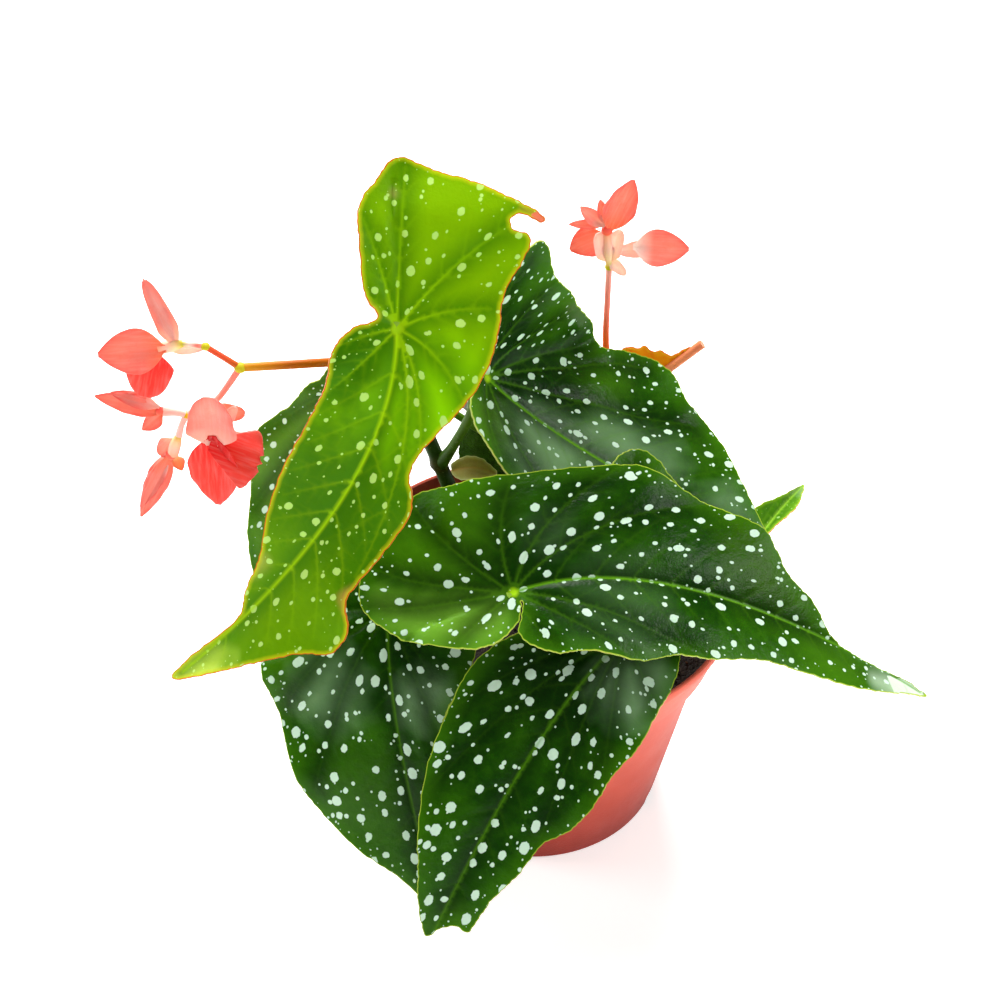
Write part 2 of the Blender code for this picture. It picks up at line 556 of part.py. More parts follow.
# Ovaries, each a round body with its wings
OVARIES = {
    "ovary_upper_left": dict(
        body=[(-89.4, -19, 175, 1.0), (-92.3, -19.4, 174.2, 1.9), (-95, -19.7, 173.3, 1.6)],
        wings=[((-91.4, -19, 175), (-97, -18.5, 192), 4.8, (0.3, -0.9, 0.2)),
               ((-92, -18.5, 173.5), (-85.5, -17.5, 170.5), 3.0, (0.1, -0.9, 0.3))]),
    "ovary_lower_left": dict(
        body=[(-86.3, -18.1, 155.2, 0.9), (-85.2, -18.3, 153.2, 1.6), (-84.4, -18.6, 150.9, 1.5)],
        wings=[((-85.8, -18.5, 153.5), (-90.5, -21, 145), 5.5, (-0.4, -0.9, 0.2)),
               ((-84.5, -18, 153.5), (-77, -16, 151), 5.5, (0.3, -0.9, 0.3))]),
    "ovary_lower": dict(
        body=[(-94.6, -19, 146.3, 0.8), (-95.4, -19.2, 144.2, 1.5), (-95.9, -19.3, 142.8, 1.4)],
        wings=[((-95, -19, 145), (-101.5, -18, 144.5), 4.5, (0.0, -0.9, 0.2))]),
    "ovary_right": dict(
        body=[(21, 45, 160.5, 1.0), (20.6, 44.9, 165, 2.1), (20.1, 44.7, 169.4, 1.5)],
        wings=[((21.2, 45, 164.5), (24.2, 44.6, 170.5), 4.5, (0.0, -0.9, 0.3)),
               ((20.5, 45, 163.5), (16.2, 44.6, 168), 5.0, (0.1, -0.9, 0.3)),
               ((21.2, 44.6, 162.5), (25.5, 43.5, 158.8), 3.5, (0.0, -0.9, 0.3))]),
}


def petal_blade(root, tip, width, face, hollow):
    """A pointed oval blade from its root to its tip, bowed towards its face by hollow."""
    root, tip, face = np.array(root, float), np.array(tip, float), np.array(face, float)
    reach = float(np.linalg.norm(tip - root))
    bow = unit(face) * -hollow
    edge = []
    for k in range(1, PETAL_STATIONS):
        t = k / PETAL_STATIONS
        edge.append((reach * t, width / 2 * math.sin(math.pi * t ** 0.85) ** 0.7))
    outline = [(-1, 0)] + [(x, -y) for x, y in edge] + [(reach, 0)] + edge[::-1]
    return dict(midrib=[root, (root + tip) / 2 + bow, tip], faces=[face] * 3, outline=outline,
                left_fold=(12, 12, 8), right_fold=(12, 12, 8), left_curl=(90, 90, 60),
                right_curl=(90, 90, 60), back=0, wave=(0.0, 10, 0.0))


def make_bloom(name, bloom, finish):
    """A bloom: its tepals grown to a small round core."""
    x, y, z, radius = bloom["core"]
    low, high = z - radius * 0.9, z + radius * 0.9
    core = [(x, y, low, radius * 0.5), (x, y, z, radius), (x, y, high, radius * 0.5)]
    pieces = [tube("core", core, PETIOLE_SIDES, finish, pieces=1)]
    for root, tip, width, face in bloom["tepals"]:
        blade = petal_blade(root, tip, width, face, hollow=0.8)
        pieces.append(blade_object("tepal", blade, TEPAL_SPACING, TEPAL_THICKNESS, finish, pieces=1))
    return fuse(name, pieces, finish)


def make_ovary(name, ovary, finish):
    """An ovary with its thin wings."""
    pieces = [tube("body", ovary["body"], PETIOLE_SIDES, finish, pieces=1)]
    for root, tip, width, face in ovary["wings"]:
        blade = petal_blade(root, tip, width, face, hollow=0.3)
        pieces.append(blade_object("wing", blade, TEPAL_SPACING, TEPAL_THICKNESS, finish, pieces=1))
    return fuse(name, pieces, finish)


def make_young_leaf(name, finish):
    """The young leaf: a ruffled half blade on a thick stub of stalk."""
    blade = blade_object("blade", LEAVES[name], TEPAL_SPACING, LEAF_THICKNESS, finish)
    stub = [(22.8, 40.2, 121, 1.0), (31, 42, 122, 1.0), (37, 41, 125.5, 1.0), (49.5, 41, 138.5, 0.9)]
    return fuse(name, [blade, tube("stub", stub, PETIOLE_SIDES, finish)], finish)


def main():
    for old in list(bpy.data.objects):
        bpy.data.objects.remove(old, do_unlink=True)
    clay = material("pot plastic", (0.62, 0.17, 0.11), 0.45)
    earth = material("soil", (0.03, 0.02, 0.015), 0.95)
    green = material("cane green", (0.05, 0.12, 0.02), 0.5)
    dark_leaf = material("dark leaf", (0.02, 0.10, 0.02), 0.35)
    lime_leaf = material("lime leaf", (0.20, 0.42, 0.01), 0.4)
    orange = material("young leaf orange", (0.75, 0.24, 0.02), 0.5)
    coral = material("coral tepals", (0.85, 0.06, 0.05), 0.5)
    pink = material("pale pink", (0.90, 0.42, 0.34), 0.5)
    stalk = material("flower stalk", (0.72, 0.22, 0.10), 0.5)
    dry = material("dry stipule", (0.35, 0.28, 0.10), 0.7)
    finishes = {"leaf_lime": lime_leaf, "leaf_right_tip": lime_leaf, "stipule": dry}

    make_pot(clay)
    make_soil(earth, CANES)
    for name, cane in CANES.items():
        make_cane(name, cane, green)
    for name, blade in LEAVES.items():
        if name == "young_leaf":
            make_young_leaf(name, orange)
        else:
            spacing = TEPAL_SPACING * 1.5 if name == "stipule" else LEAF_SPACING
            blade_object(name, blade, spacing, LEAF_THICKNESS, finishes.get(name, dark_leaf))
    for name, (main_stem, *branches) in STALKS.items():
        stems = [tube("stem", points, PETIOLE_SIDES, stalk) for points in [main_stem, *branches]]
        fuse(name, stems, stalk)
    for name, bloom in BLOOMS.items():
        make_bloom(name, bloom, coral)
    for name, ovary in OVARIES.items():
        make_ovary(name, ovary, pink)


main()
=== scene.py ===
# %% [markdown]
# # A potted angel wing begonia
#
# The plant comes as a plain frame of solids at their real size: a nursery pot, soil, two canes, twelve
# blades, two flower stalks and their blooms. Here each solid is replaced with a finer piece of the
# same form, and each piece gets a finish of its own. The tables below are in millimetres, because a
# leaf is easier to think of as 120 mm long than as 0.12 m. Lengths become metres where a mesh is made.

# %% Load the frame
import math
import random

import bpy
import numpy as np
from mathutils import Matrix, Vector, noise
from mathutils.geometry import delaunay_2d_cdt


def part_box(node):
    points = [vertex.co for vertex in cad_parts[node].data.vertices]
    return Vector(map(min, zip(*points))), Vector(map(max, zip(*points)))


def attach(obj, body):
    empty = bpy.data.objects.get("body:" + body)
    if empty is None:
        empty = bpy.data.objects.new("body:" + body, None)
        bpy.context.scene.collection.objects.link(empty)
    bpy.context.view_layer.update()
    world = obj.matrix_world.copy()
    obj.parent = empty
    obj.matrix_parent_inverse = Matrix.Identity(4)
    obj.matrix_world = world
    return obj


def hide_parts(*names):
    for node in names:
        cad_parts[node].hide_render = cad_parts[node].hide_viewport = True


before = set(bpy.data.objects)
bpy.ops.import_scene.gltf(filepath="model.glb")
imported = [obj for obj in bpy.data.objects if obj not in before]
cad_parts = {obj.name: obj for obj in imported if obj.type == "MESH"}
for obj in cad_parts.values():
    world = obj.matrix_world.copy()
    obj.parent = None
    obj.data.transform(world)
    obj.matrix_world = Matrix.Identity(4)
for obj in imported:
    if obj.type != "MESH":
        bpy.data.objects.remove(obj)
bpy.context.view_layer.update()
MM = 0.001
print("solids in the frame:", len(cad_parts))

# %% [markdown]
# ## The view
#
# The photograph looks down on the plant by nearly 39 degrees from about 45 cm away, so the far leaves
# are smaller and the pot narrows towards its foot. A camera with the same height, tilt and lens shows
# that. The floor is a plain pale sheet, large enough to fill the view, and isn't part of the plant.

# %% Camera, floor and light
CAMERA_PLACE = (-0.0105, -0.335, 0.3784)
CAMERA_TILT = 51.3
CAMERA_LENS = 54.0
FLOOR_SIZE = 6.0
FLOOR_GREY = 0.92
FLOOR_GLOW = 0.5
SKY_LIGHT = 0.35
LAMP_AIM = (0, 0, 0.1)
LAMPS = {
    "rear softbox": dict(place=(-0.15, 0.8, 1.3), size=1.0, power=44),
    "left softbox": dict(place=(-1.3, 0.1, 0.8), size=0.5, power=8),
    "right softbox": dict(place=(1.2, -0.5, 1.0), size=0.4, power=8),
}


def tone(red, green, blue):
    """A colour given as 0 to 255 on a screen, as the linear values that a shader takes."""
    shares = [value / 255 for value in (red, green, blue)]
    return [((v + 0.055) / 1.055) ** 2.4 if v > 0.04 else v / 12.92 for v in shares]


def add_camera():
    """The camera at the photograph's height and angle."""
    bpy.ops.object.camera_add(location=CAMERA_PLACE, rotation=(math.radians(CAMERA_TILT), 0, 0))
    camera = bpy.context.object
    camera.data.lens = CAMERA_LENS
    bpy.context.scene.camera = camera


def add_softbox(name, place, size, power):
    """A large square lamp that looks at the plant."""
    turn = (Vector(LAMP_AIM) - Vector(place)).to_track_quat("-Z", "Y").to_euler()
    bpy.ops.object.light_add(type="AREA", location=place, rotation=turn)
    lamp = bpy.context.object
    lamp.name = name
    lamp.data.size = size
    lamp.data.energy = power


def add_floor():
    """A plain pale floor under the pot."""
    bpy.ops.mesh.primitive_plane_add(size=FLOOR_SIZE, location=(0, 0, 0))
    floor = bpy.context.object
    floor.name = "studio_floor"
    paper = bpy.data.materials.new("pale floor")
    paper.use_nodes = True
    shader = paper.node_tree.nodes["Principled BSDF"]
    shader.inputs["Base Color"].default_value = (FLOOR_GREY, FLOOR_GREY, FLOOR_GREY, 1)
    shader.inputs["Roughness"].default_value = 0.9
    shader.inputs["Emission Color"].default_value = (1, 1, 1, 1)
    shader.inputs["Emission Strength"].default_value = FLOOR_GLOW
    floor.data.materials.append(paper)


def add_sky():
    """Even white light from all round."""
    world = bpy.data.worlds.new("pale studio")
    bpy.context.scene.world = world
    world.use_nodes = True
    sky = world.node_tree.nodes["Background"].inputs
    sky["Color"].default_value = (1, 1, 1, 1)
    sky["Strength"].default_value = SKY_LIGHT


add_camera()
add_floor()
for name, lamp in LAMPS.items():
    add_softbox(name, **lamp)
add_sky()
bpy.context.scene.view_settings.view_transform = "Standard"

# %% [markdown]
# ## Small helpers for shaders
#
# Every finish here is made of nodes, and most need the same few steps: add a node, link what is a
# socket, set what is a number. One helper does that, and short ones give sums, vector sums, colour
# blends and spans, so that a finish reads like the list of things that a leaf or a petal shows.


# %% Shader helpers
def add(tree, kind, inputs=None, **settings):
    """A shader node with its settings, whose inputs are linked to sockets or set to values."""
    made = tree.nodes.new(kind)
    made.location = (180 * len(tree.nodes), 0)
    for name, value in settings.items():
        setattr(made, name, value)
    plug(tree, made, inputs or {})
    return made


def plug(tree, made, inputs):
    """Links or sets a node's inputs, named or counted."""
    for key, value in inputs.items():
        if isinstance(value, bpy.types.NodeSocket):
            tree.links.new(value, made.inputs[key])
        else:
            made.inputs[key].default_value = value


def maths(tree, operation, first, second=0.0, clamp=False):
    """A sum of two values, kept within 0 and 1 if it is clamped."""
    made = add(tree, "ShaderNodeMath", {0: first, 1: second}, operation=operation, use_clamp=clamp)
    return made.outputs[0]


def plus(tree, first, second, clamp=False):
    """One value plus another."""
    return maths(tree, "ADD", first, second, clamp)


def times(tree, first, second):
    """One value times another."""
    return maths(tree, "MULTIPLY", first, second)


def sums(tree, operation, first, second=(0, 0, 0), scale=1.0):
    """A sum of two vectors, as a vector or, for a length or a dot product, as a value."""
    made = add(tree, "ShaderNodeVectorMath", {0: first, 1: second, 3: scale}, operation=operation)
    return made.outputs["Value" if operation in ("DOT_PRODUCT", "LENGTH") else "Vector"]


def blend(tree, factor, first, second):
    """Two colours blended by a factor from 0 to 1, each a socket or the three values of a tone."""
    first, second = [(*c, 1) if isinstance(c, (list, tuple)) else c for c in (first, second)]
    made = add(tree, "ShaderNodeMix", data_type="RGBA", clamp_factor=True)
    plug(tree, made, {0: factor, 6: first, 7: second})
    return made.outputs[2]


def ramp(tree, value, low, high):
    """A value brought from the span low to high onto 0 to 1."""
    made = add(tree, "ShaderNodeMapRange", {"Value": value, "From Min": low, "From Max": high})
    return made.outputs["Result"]


def new_group(name, takes, gives):
    """An empty shader group, with its named inputs and outputs."""
    tree = bpy.data.node_groups.new(name, "ShaderNodeTree")
    for label, kind in takes.items():
        tree.interface.new_socket(label, in_out="INPUT", socket_type="NodeSocket" + kind)
    for label, kind in gives.items():
        tree.interface.new_socket(label, in_out="OUTPUT", socket_type="NodeSocket" + kind)
    return tree, tree.nodes.new("NodeGroupInput").outputs, tree.nodes.new("NodeGroupOutput")


def use(tree, group, inputs):
    """A shader group placed in a material, with its own values."""
    return add(tree, "ShaderNodeGroup", inputs, node_tree=group).outputs


def new_finish(name):
    """A material with its node tree and its Principled shader."""
    made = bpy.data.materials.new(name)
    made.use_nodes = True
    return made, made.node_tree, made.node_tree.nodes["Principled BSDF"]


def clouds(tree, place, scale, detail, **settings):
    """Soft noise round a half."""
    inputs = {"Vector": place, "Scale": scale, "Detail": detail}
    return add(tree, "ShaderNodeTexNoise", inputs, **settings).outputs["Fac"]


def object_place(tree):
    """The place on the piece, in metres."""
    return add(tree, "ShaderNodeTexCoord").outputs["Object"]


def kept(tree, name, output="Fac"):
    """A value or a colour that was kept on the mesh."""
    return add(tree, "ShaderNodeAttribute", attribute_name=name).outputs[output]


# %% [markdown]
# ## Effects that several finishes share
#
# **Spots.** An angel wing's spots are pale, crisp and round or drawn out along the veins, each of its
# own size. A Voronoi texture scatters one point in each cell and gives every cell random colours. Here
# those colours choose whether the cell has a spot and how large it is, and the way from the leaf's
# joint to the spot says along which line it is drawn out. Nothing is painted by hand.
#
# **Mottle.** Living skins are never one colour. Two sizes of noise give a soft, uneven factor.
#
# **Grain.** Fine noise and a net of cells, as heights for a Bump node, break up each highlight.


# %% Shared shader groups
SPOT_SHIFT = (37.1, 19.7, 0.0)


def make_spots():
    """Pale spots scattered over a flat leaf, in millimetres from its joint."""
    takes = {"Flat": "Vector"}
    takes.update({label: "Float" for label in
                  ("Shift", "Cell", "Smallest", "Largest", "Share", "Stretch", "Edge")})
    tree, given, out = new_group("Leaf spots", takes, {"Mask": "Float"})
    shift = sums(tree, "SCALE", SPOT_SHIFT, scale=given["Shift"])
    cells = sums(tree, "SCALE", sums(tree, "ADD", given["Flat"], shift),
                 scale=maths(tree, "DIVIDE", 1.0, given["Cell"]))
    scatter = add(tree, "ShaderNodeTexVoronoi", {"Vector": cells, "Scale": 1.0, "Randomness": 0.85},
                  voronoi_dimensions="2D", feature="F1")
    draw = add(tree, "ShaderNodeSeparateColor", {0: scatter.outputs["Color"]}).outputs
    middle = sums(tree, "SUBTRACT",
                  sums(tree, "SCALE", scatter.outputs["Position"], scale=given["Cell"]), shift)
    away = sums(tree, "SUBTRACT", given["Flat"], middle)
    ahead = sums(tree, "NORMALIZE", middle)
    along = maths(tree, "POWER", maths(tree, "ABSOLUTE", sums(tree, "DOT_PRODUCT", away, ahead)), 2.0)
    whole = maths(tree, "POWER", sums(tree, "LENGTH", away), 2.0)
    stretch = plus(tree, 1.0, times(tree, given["Stretch"], draw[2]))
    across = maths(tree, "SUBTRACT", whole, along)
    squared = plus(tree, maths(tree, "DIVIDE", along, stretch), times(tree, across, stretch))
    ragged = clouds(tree, given["Flat"], 1.1, 2.0, noise_dimensions="2D")
    distance = plus(tree, maths(tree, "SQRT", squared),
                    times(tree, maths(tree, "SUBTRACT", ragged, 0.5), given["Smallest"]))
    spread = times(tree, maths(tree, "SUBTRACT", given["Largest"], given["Smallest"]),
                   maths(tree, "POWER", draw[0], 1.2))
    radius = plus(tree, given["Smallest"], spread)
    there = maths(tree, "LESS_THAN", draw[1], given["Share"])
    soft = maths(tree, "DIVIDE", maths(tree, "SUBTRACT", radius, distance), given["Edge"])
    plug(tree, out, {"Mask": times(tree, plus(tree, soft, 0.5, clamp=True), there)})
    return tree


def make_mottle():
    """A soft uneven factor round a half, from two sizes of noise."""
    tree, given, out = new_group("Mottle", {"Vector": "Vector", "Scale": "Float"}, {"Factor": "Float"})
    wide = clouds(tree, given["Vector"], given["Scale"], 2.0)
    fine = clouds(tree, given["Vector"], times(tree, given["Scale"], 7.3), 3.0)
    plug(tree, out, {"Factor": plus(tree, times(tree, wide, 0.65), times(tree, fine, 0.35))})
    return tree


def make_grain():
    """A height from fine noise and from a net of cells, as in a skin."""
    tree, given, out = new_group("Skin grain", {"Vector": "Vector", "Cells": "Float", "Net": "Float"},
                                 {"Height": "Float"})
    net = add(tree, "ShaderNodeTexVoronoi", {"Vector": given["Vector"], "Scale": given["Cells"]},
              feature="DISTANCE_TO_EDGE").outputs["Distance"]
    fine = clouds(tree, given["Vector"], times(tree, given["Cells"], 3.0), 2.0)
    lines = times(tree, ramp(tree, net, 0.0, 0.22), given["Net"])
    plug(tree, out, {"Height": plus(tree, lines, times(tree, fine, 0.35))})
    return tree


SPOTS = make_spots()
MOTTLE = make_mottle()
GRAIN = make_grain()


def mottled(tree, place, scale):
    """The mottle's factor at a place."""
    return use(tree, MOTTLE, {"Vector": place, "Scale": scale})["Factor"]


def grained(tree, place, cells, net):
    """The grain's height at a place."""
    return use(tree, GRAIN, {"Vector": place, "Cells": cells, "Net": net})["Height"]


def bumped(tree, height, depth):
    """A normal from a height, whose full step is a depth in millimetres."""
    made = add(tree, "ShaderNodeBump", {"Height": height, "Distance": depth * MM, "Strength": 1.0})
    return made.outputs["Normal"]


def glowing(weight, scale, radius):
    """The shader's inputs for light that passes under the surface, up to a scale in metres."""
    return {"Subsurface Weight": weight, "Subsurface Scale": scale, "Subsurface Radius": radius}


# %% [markdown]
# ## Small helpers for meshes
#
# Only one object at a time is picked, because an operator acts on everything that is selected. A
# modifier is applied as soon as it is set, so that each piece ends as a plain mesh at the origin.


# %% Mesh helpers
FLAT_UNIT = 100


def pick(*objects):
    """Selects only these objects, the first one as the active one."""
    bpy.ops.object.select_all(action="DESELECT")
    for obj in objects:
        obj.select_set(True)
    bpy.context.view_layer.objects.active = objects[0]


def modify(obj, kind, **settings):
    """Sets a modifier on an object and applies it."""
    pick(obj)
    step = obj.modifiers.new(kind.lower(), kind)
    for name, value in settings.items():
        setattr(step, name, value)
    bpy.ops.object.modifier_apply(modifier=step.name)


def smooth(obj, angle):
    """The object with smooth shading, and with edges over an angle left sharp."""
    pick(obj)
    bpy.ops.object.shade_smooth_by_angle(angle=math.radians(angle))
    return obj


def joined(name, pieces):
    """Several pieces joined in one object with a name."""
    pick(*pieces)
    if len(pieces) > 1:
        bpy.ops.object.join()
    obj = bpy.context.object
    obj.name = name
    obj.data.name = name
    return obj


def dressed(obj, finish):
    """The object with one finish all over."""
    obj.data.materials.clear()
    obj.data.materials.append(finish)
    return obj


def new_mesh(name, points, faces, *finishes):
    """An object from points in millimetres, with its finishes."""
    mesh = bpy.data.meshes.new(name)
    mesh.from_pydata(np.asarray(points, float) * MM, [], faces)
    obj = bpy.data.objects.new(name, mesh)
    bpy.context.scene.collection.objects.link(obj)
    for finish in finishes:
        mesh.materials.append(finish)
    return obj


def keep_value(obj, name, values):
    """Keeps a number for each point of a mesh, for its finish to read."""
    layer = obj.data.attributes.new(name, "FLOAT", "POINT")
    layer.data.foreach_set("value", np.asarray(values, np.float32))


def keep_tint(obj, colours, shares=None):
    """Keeps a colour and its share for each point of a mesh, for its finish to read."""
    shares = np.ones(len(colours)) if shares is None else shares
    rgba = np.c_[colours, shares].astype(np.float32)
    layer = obj.data.attributes.new("tint", "FLOAT_COLOR", "POINT")
    layer.data.foreach_set("color", rgba.ravel())


def keep_flat(obj, flat):
    """Keeps each point's flat place as the UV map, in flat units."""
    layer = obj.data.uv_layers.new(name="flat")
    corners = np.array([loop.vertex_index for loop in obj.data.loops])
    layer.data.foreach_set("uv", (np.asarray(flat, np.float32)[corners] / FLAT_UNIT).ravel())


def settle(obj, slot, *nodes):
    """Rides a finished piece on the plant and hides the solids it stands for."""
    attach(obj, "root")
    if nodes:
        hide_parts(*nodes)
    print(obj.name, len(obj.data.polygons), "faces")


def finished(piece_name, pieces, finish, angle, slot, node):
    """Several pieces joined in one, with one finish, smoothed and settled."""
    settle(smooth(dressed(joined(piece_name, pieces), finish), angle), slot, node)


# %% [markdown]
# ## Pot
#
# The pot is thin vacuum-formed plastic the colour of clay. It is one turned wall: a flat floor with a
# rounded foot, a body that widens upwards, a step out to the collar, and a rim that is folded over. A
# circle is extruded ring by ring and each ring is resized, outside first and then down the inside, as
# one would by hand. Five holes are cut round the foot for water to drain.

# %% Pot sizes
RIM_RADIUS, _, POT_HEIGHT = [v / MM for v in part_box("pot")[1]]
COLLAR_HEIGHT = 16.0
COLLAR_FOOT_RADIUS = 55.4
COLLAR_SLOPE = 0.29
BODY_TOP_RADIUS = 52.3
BASE_RADIUS = 41.0
POT_WALL = 1.2
POT_FLOOR = 2.0
POT_SIDES = 144
DRAIN_COUNT = 5
DRAIN_RADIUS = 4.0
DRAIN_SHIFT = 2 / 3
DRAIN_INSET = 2.0
DRAIN_DEPTH = 9.0
# Painted shade at the foot and painted light at the rim, blended up the pot.
CLAY_SHADED_FOOT = tone(140, 28, 10)
CLAY_LIT_TOP = tone(240, 114, 94)
DUST = tone(110, 54, 38)
DUST_HEIGHT = 12.0
# Painted shade for the inner wall above the soil.
SHADED_INNER_CLAY = tone(62, 26, 16)


def clay_plastic():
    """Satin clay-coloured plastic, dusty at the foot. Painted light makes it brighter on top, and
    painted shade darkens its foot and its inner wall.
    """
    made, tree, shader = new_finish("clay plastic")
    place = object_place(tree)
    height = add(tree, "ShaderNodeSeparateXYZ", {0: place}).outputs[2]
    across = sums(tree, "LENGTH", sums(tree, "MULTIPLY", place, (1, 1, 0)))
    uneven = mottled(tree, place, 14.0)
    # Painted light and shade: the colour runs from the shaded one at the foot to the lit one at the
    # rim.
    rise = plus(tree, ramp(tree, height, 0.0, POT_HEIGHT * MM),
                times(tree, maths(tree, "SUBTRACT", uneven, 0.5), 0.5), clamp=True)
    body = blend(tree, rise, CLAY_SHADED_FOOT, CLAY_LIT_TOP)
    dust = mottled(tree, place, 90.0)
    low = times(tree, ramp(tree, height, DUST_HEIGHT * MM, 0.0), ramp(tree, dust, 0.45, 0.7))
    body = blend(tree, times(tree, low, 0.35), body, DUST)
    # Painted shade on the inner wall above the soil, where the plant shades it.
    above = maths(tree, "SUBTRACT", height, (POT_HEIGHT - COLLAR_HEIGHT) * MM)
    wall = maths(tree, "SUBTRACT", across, times(tree, above, COLLAR_SLOPE))
    inner = times(tree, ramp(tree, above, 0.0002, 0.001),
                  ramp(tree, wall, (COLLAR_FOOT_RADIUS - 0.5) * MM,
                       (COLLAR_FOOT_RADIUS - POT_WALL + 0.1) * MM))
    inner_shade = times(tree, inner, plus(tree, 0.45, times(tree, dust, 0.4)))
    plug(tree, shader, {
        "Base Color": blend(tree, inner_shade, body, SHADED_INNER_CLAY),
        "Roughness": plus(tree, 0.36, times(tree, dust, 0.22)),
        "Specular IOR Level": 0.06,
        "Normal": bumped(tree, grained(tree, place, 900.0, 0.3), 0.06),
        **glowing(0.15, 0.004, (1.0, 0.4, 0.25))})
    return made


def ring_up(height, radius, last):
    """Extrudes the selected ring to a height and resizes it to a radius."""
    rise = (height - last[0]) * MM
    bpy.ops.mesh.extrude_region_move(TRANSFORM_OT_translate={"value": (0, 0, rise)})
    scale = radius / last[1]
    bpy.ops.transform.resize(value=(scale, scale, 1))
    return height, radius


def make_pot():
    """The pot's wall, ring by ring, with its drain holes cut."""
    foot = POT_HEIGHT - COLLAR_HEIGHT
    bpy.ops.object.select_all(action="DESELECT")
    start = BASE_RADIUS - 1.6
    bpy.ops.mesh.primitive_circle_add(vertices=POT_SIDES, radius=start * MM, fill_type="NGON")
    pot = bpy.context.object
    bpy.ops.object.mode_set(mode="EDIT")
    bpy.ops.mesh.select_all(action="SELECT")
    last = (0.0, start)
    body = [(0.3, BASE_RADIUS - 0.6), (1.2, BASE_RADIUS),
            (foot * 0.5, (BASE_RADIUS + BODY_TOP_RADIUS) / 2), (foot - 0.5, BODY_TOP_RADIUS)]
    step = [(foot, BODY_TOP_RADIUS + 0.5), (foot, COLLAR_FOOT_RADIUS - 0.5),
            (foot + 0.6, COLLAR_FOOT_RADIUS)]
    rim = [(POT_HEIGHT - 3.4, RIM_RADIUS - 1.1), (POT_HEIGHT - 2.9, RIM_RADIUS - 0.3),
           (POT_HEIGHT - 1.2, RIM_RADIUS), (POT_HEIGHT - 0.3, RIM_RADIUS - 0.3),
           (POT_HEIGHT, RIM_RADIUS - 0.9), (POT_HEIGHT - 0.3, RIM_RADIUS - POT_WALL - 0.3),
           (POT_HEIGHT - 1.2, RIM_RADIUS - POT_WALL - 0.7)]
    hollow = [(foot + POT_WALL, COLLAR_FOOT_RADIUS - POT_WALL),
              (foot + POT_WALL, BODY_TOP_RADIUS - POT_WALL), (POT_FLOOR, BASE_RADIUS - POT_WALL)]
    for height, radius in body + step + rim + hollow:
        last = ring_up(height, radius, last)
    bpy.ops.mesh.normals_make_consistent(inside=False)
    bpy.ops.object.mode_set(mode="OBJECT")
    cutters = []
    for k in range(DRAIN_COUNT):
        turn = 2 * math.pi * (k + DRAIN_SHIFT) / DRAIN_COUNT
        out = (BASE_RADIUS - DRAIN_INSET) * MM
        bpy.ops.mesh.primitive_cylinder_add(
            vertices=32, radius=DRAIN_RADIUS * MM, depth=DRAIN_DEPTH * MM,
            location=(out * math.cos(turn), out * math.sin(turn), 0))
        cutters.append(bpy.context.object)
    cutter = joined("drain cutter", cutters)
    modify(pot, "BOOLEAN", operation="DIFFERENCE", object=cutter, solver="EXACT")
    bpy.data.objects.remove(cutter)
    pot.name = "nursery_pot"
    settle(smooth(dressed(pot, clay_plastic()), 35), "pot_plastic", "pot")


make_pot()

# %% [markdown]
# ## Soil
#
# Potting soil is dark, damp and crumbly. A shallow lump of it is a disc whose top is pushed up and
# down by noise. Crumbs lie on it, turned and sized at random from three lumps: most are as dark as the
# soil, some are brown bits of bark and a few are white grains that growers mix in.

# %% Soil
SOIL_TOP = 71.0
SOIL_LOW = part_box("soil")[0].z / MM
SOIL_RINGS = 56
SOIL_SIDES = 168
SOIL_GAP = 0.3
SOIL_SINK = 0.5
CRUMBS = 620
CRUMB_SHARES = (80, 17, 3)
CRUMB_TURN = 6.28
SOIL_SEED = 12


def soil_height(x, y):
    """The soil's height at a place, in millimetres."""
    soft = 1.1 * math.sin(0.31 * x + 1.3) * math.cos(0.27 * y + 0.4 * math.sin(0.2 * x))
    rough = noise.fractal(Vector((x, y, 0)) * 0.35, 0.7, 2.1, 4)
    return SOIL_TOP + soft * 0.7 + rough * 0.7


def earth_finish(name, dark, light, size):
    """Damp matt soil or crumbs, from two colours and the size of their grains in millimetres."""
    made, tree, shader = new_finish(name)
    place = object_place(tree)
    uneven = mottled(tree, place, 300.0 / size)
    plug(tree, shader, {
        "Base Color": blend(tree, ramp(tree, uneven, 0.35, 0.7), dark, light),
        "Roughness": plus(tree, 0.62, times(tree, uneven, 0.4)),
        "Normal": bumped(tree, grained(tree, place, 700.0 / size, 0.8), 0.35 * size)})
    return made


def make_soil():
    """The body of soil, as rings that fill the pot and a crumbly top."""
    foot = POT_HEIGHT - COLLAR_HEIGHT
    sides = SOIL_SIDES
    turns = 2 * np.pi * np.arange(sides) / sides
    edge = COLLAR_FOOT_RADIUS + COLLAR_SLOPE * (SOIL_TOP - foot) - POT_WALL - SOIL_GAP
    rings = [(SOIL_LOW, BASE_RADIUS - POT_WALL - 0.7), (foot + 1.5, BODY_TOP_RADIUS - POT_WALL - 0.7),
             (foot + 1.6, COLLAR_FOOT_RADIUS - POT_WALL - 0.4)]
    rings += [(None, edge * (1 - k / SOIL_RINGS)) for k in range(SOIL_RINGS)]
    points = []
    for height, radius in rings:
        for turn in turns:
            x, y = radius * math.cos(turn), radius * math.sin(turn)
            points.append((x, y, soil_height(x, y) - SOIL_SINK if height is None else height))
    faces = []
    for ring in range(len(rings) - 1):
        for k in range(sides):
            a, b = ring * sides + k, ring * sides + (k + 1) % sides
            faces.append((a, b, b + sides, a + sides))
    points.append((0, 0, soil_height(0, 0) - SOIL_SINK))
    last = (len(rings) - 1) * sides
    faces += [(last + k, last + (k + 1) % sides, len(points) - 1) for k in range(sides)]
    faces.append(tuple(range(sides - 1, -1, -1)))
    finish = earth_finish("potting soil", tone(18, 12, 9), tone(52, 36, 26), 1.0)
    settle(smooth(new_mesh("potting_soil", points, faces, finish), 60), "soil", "soil")


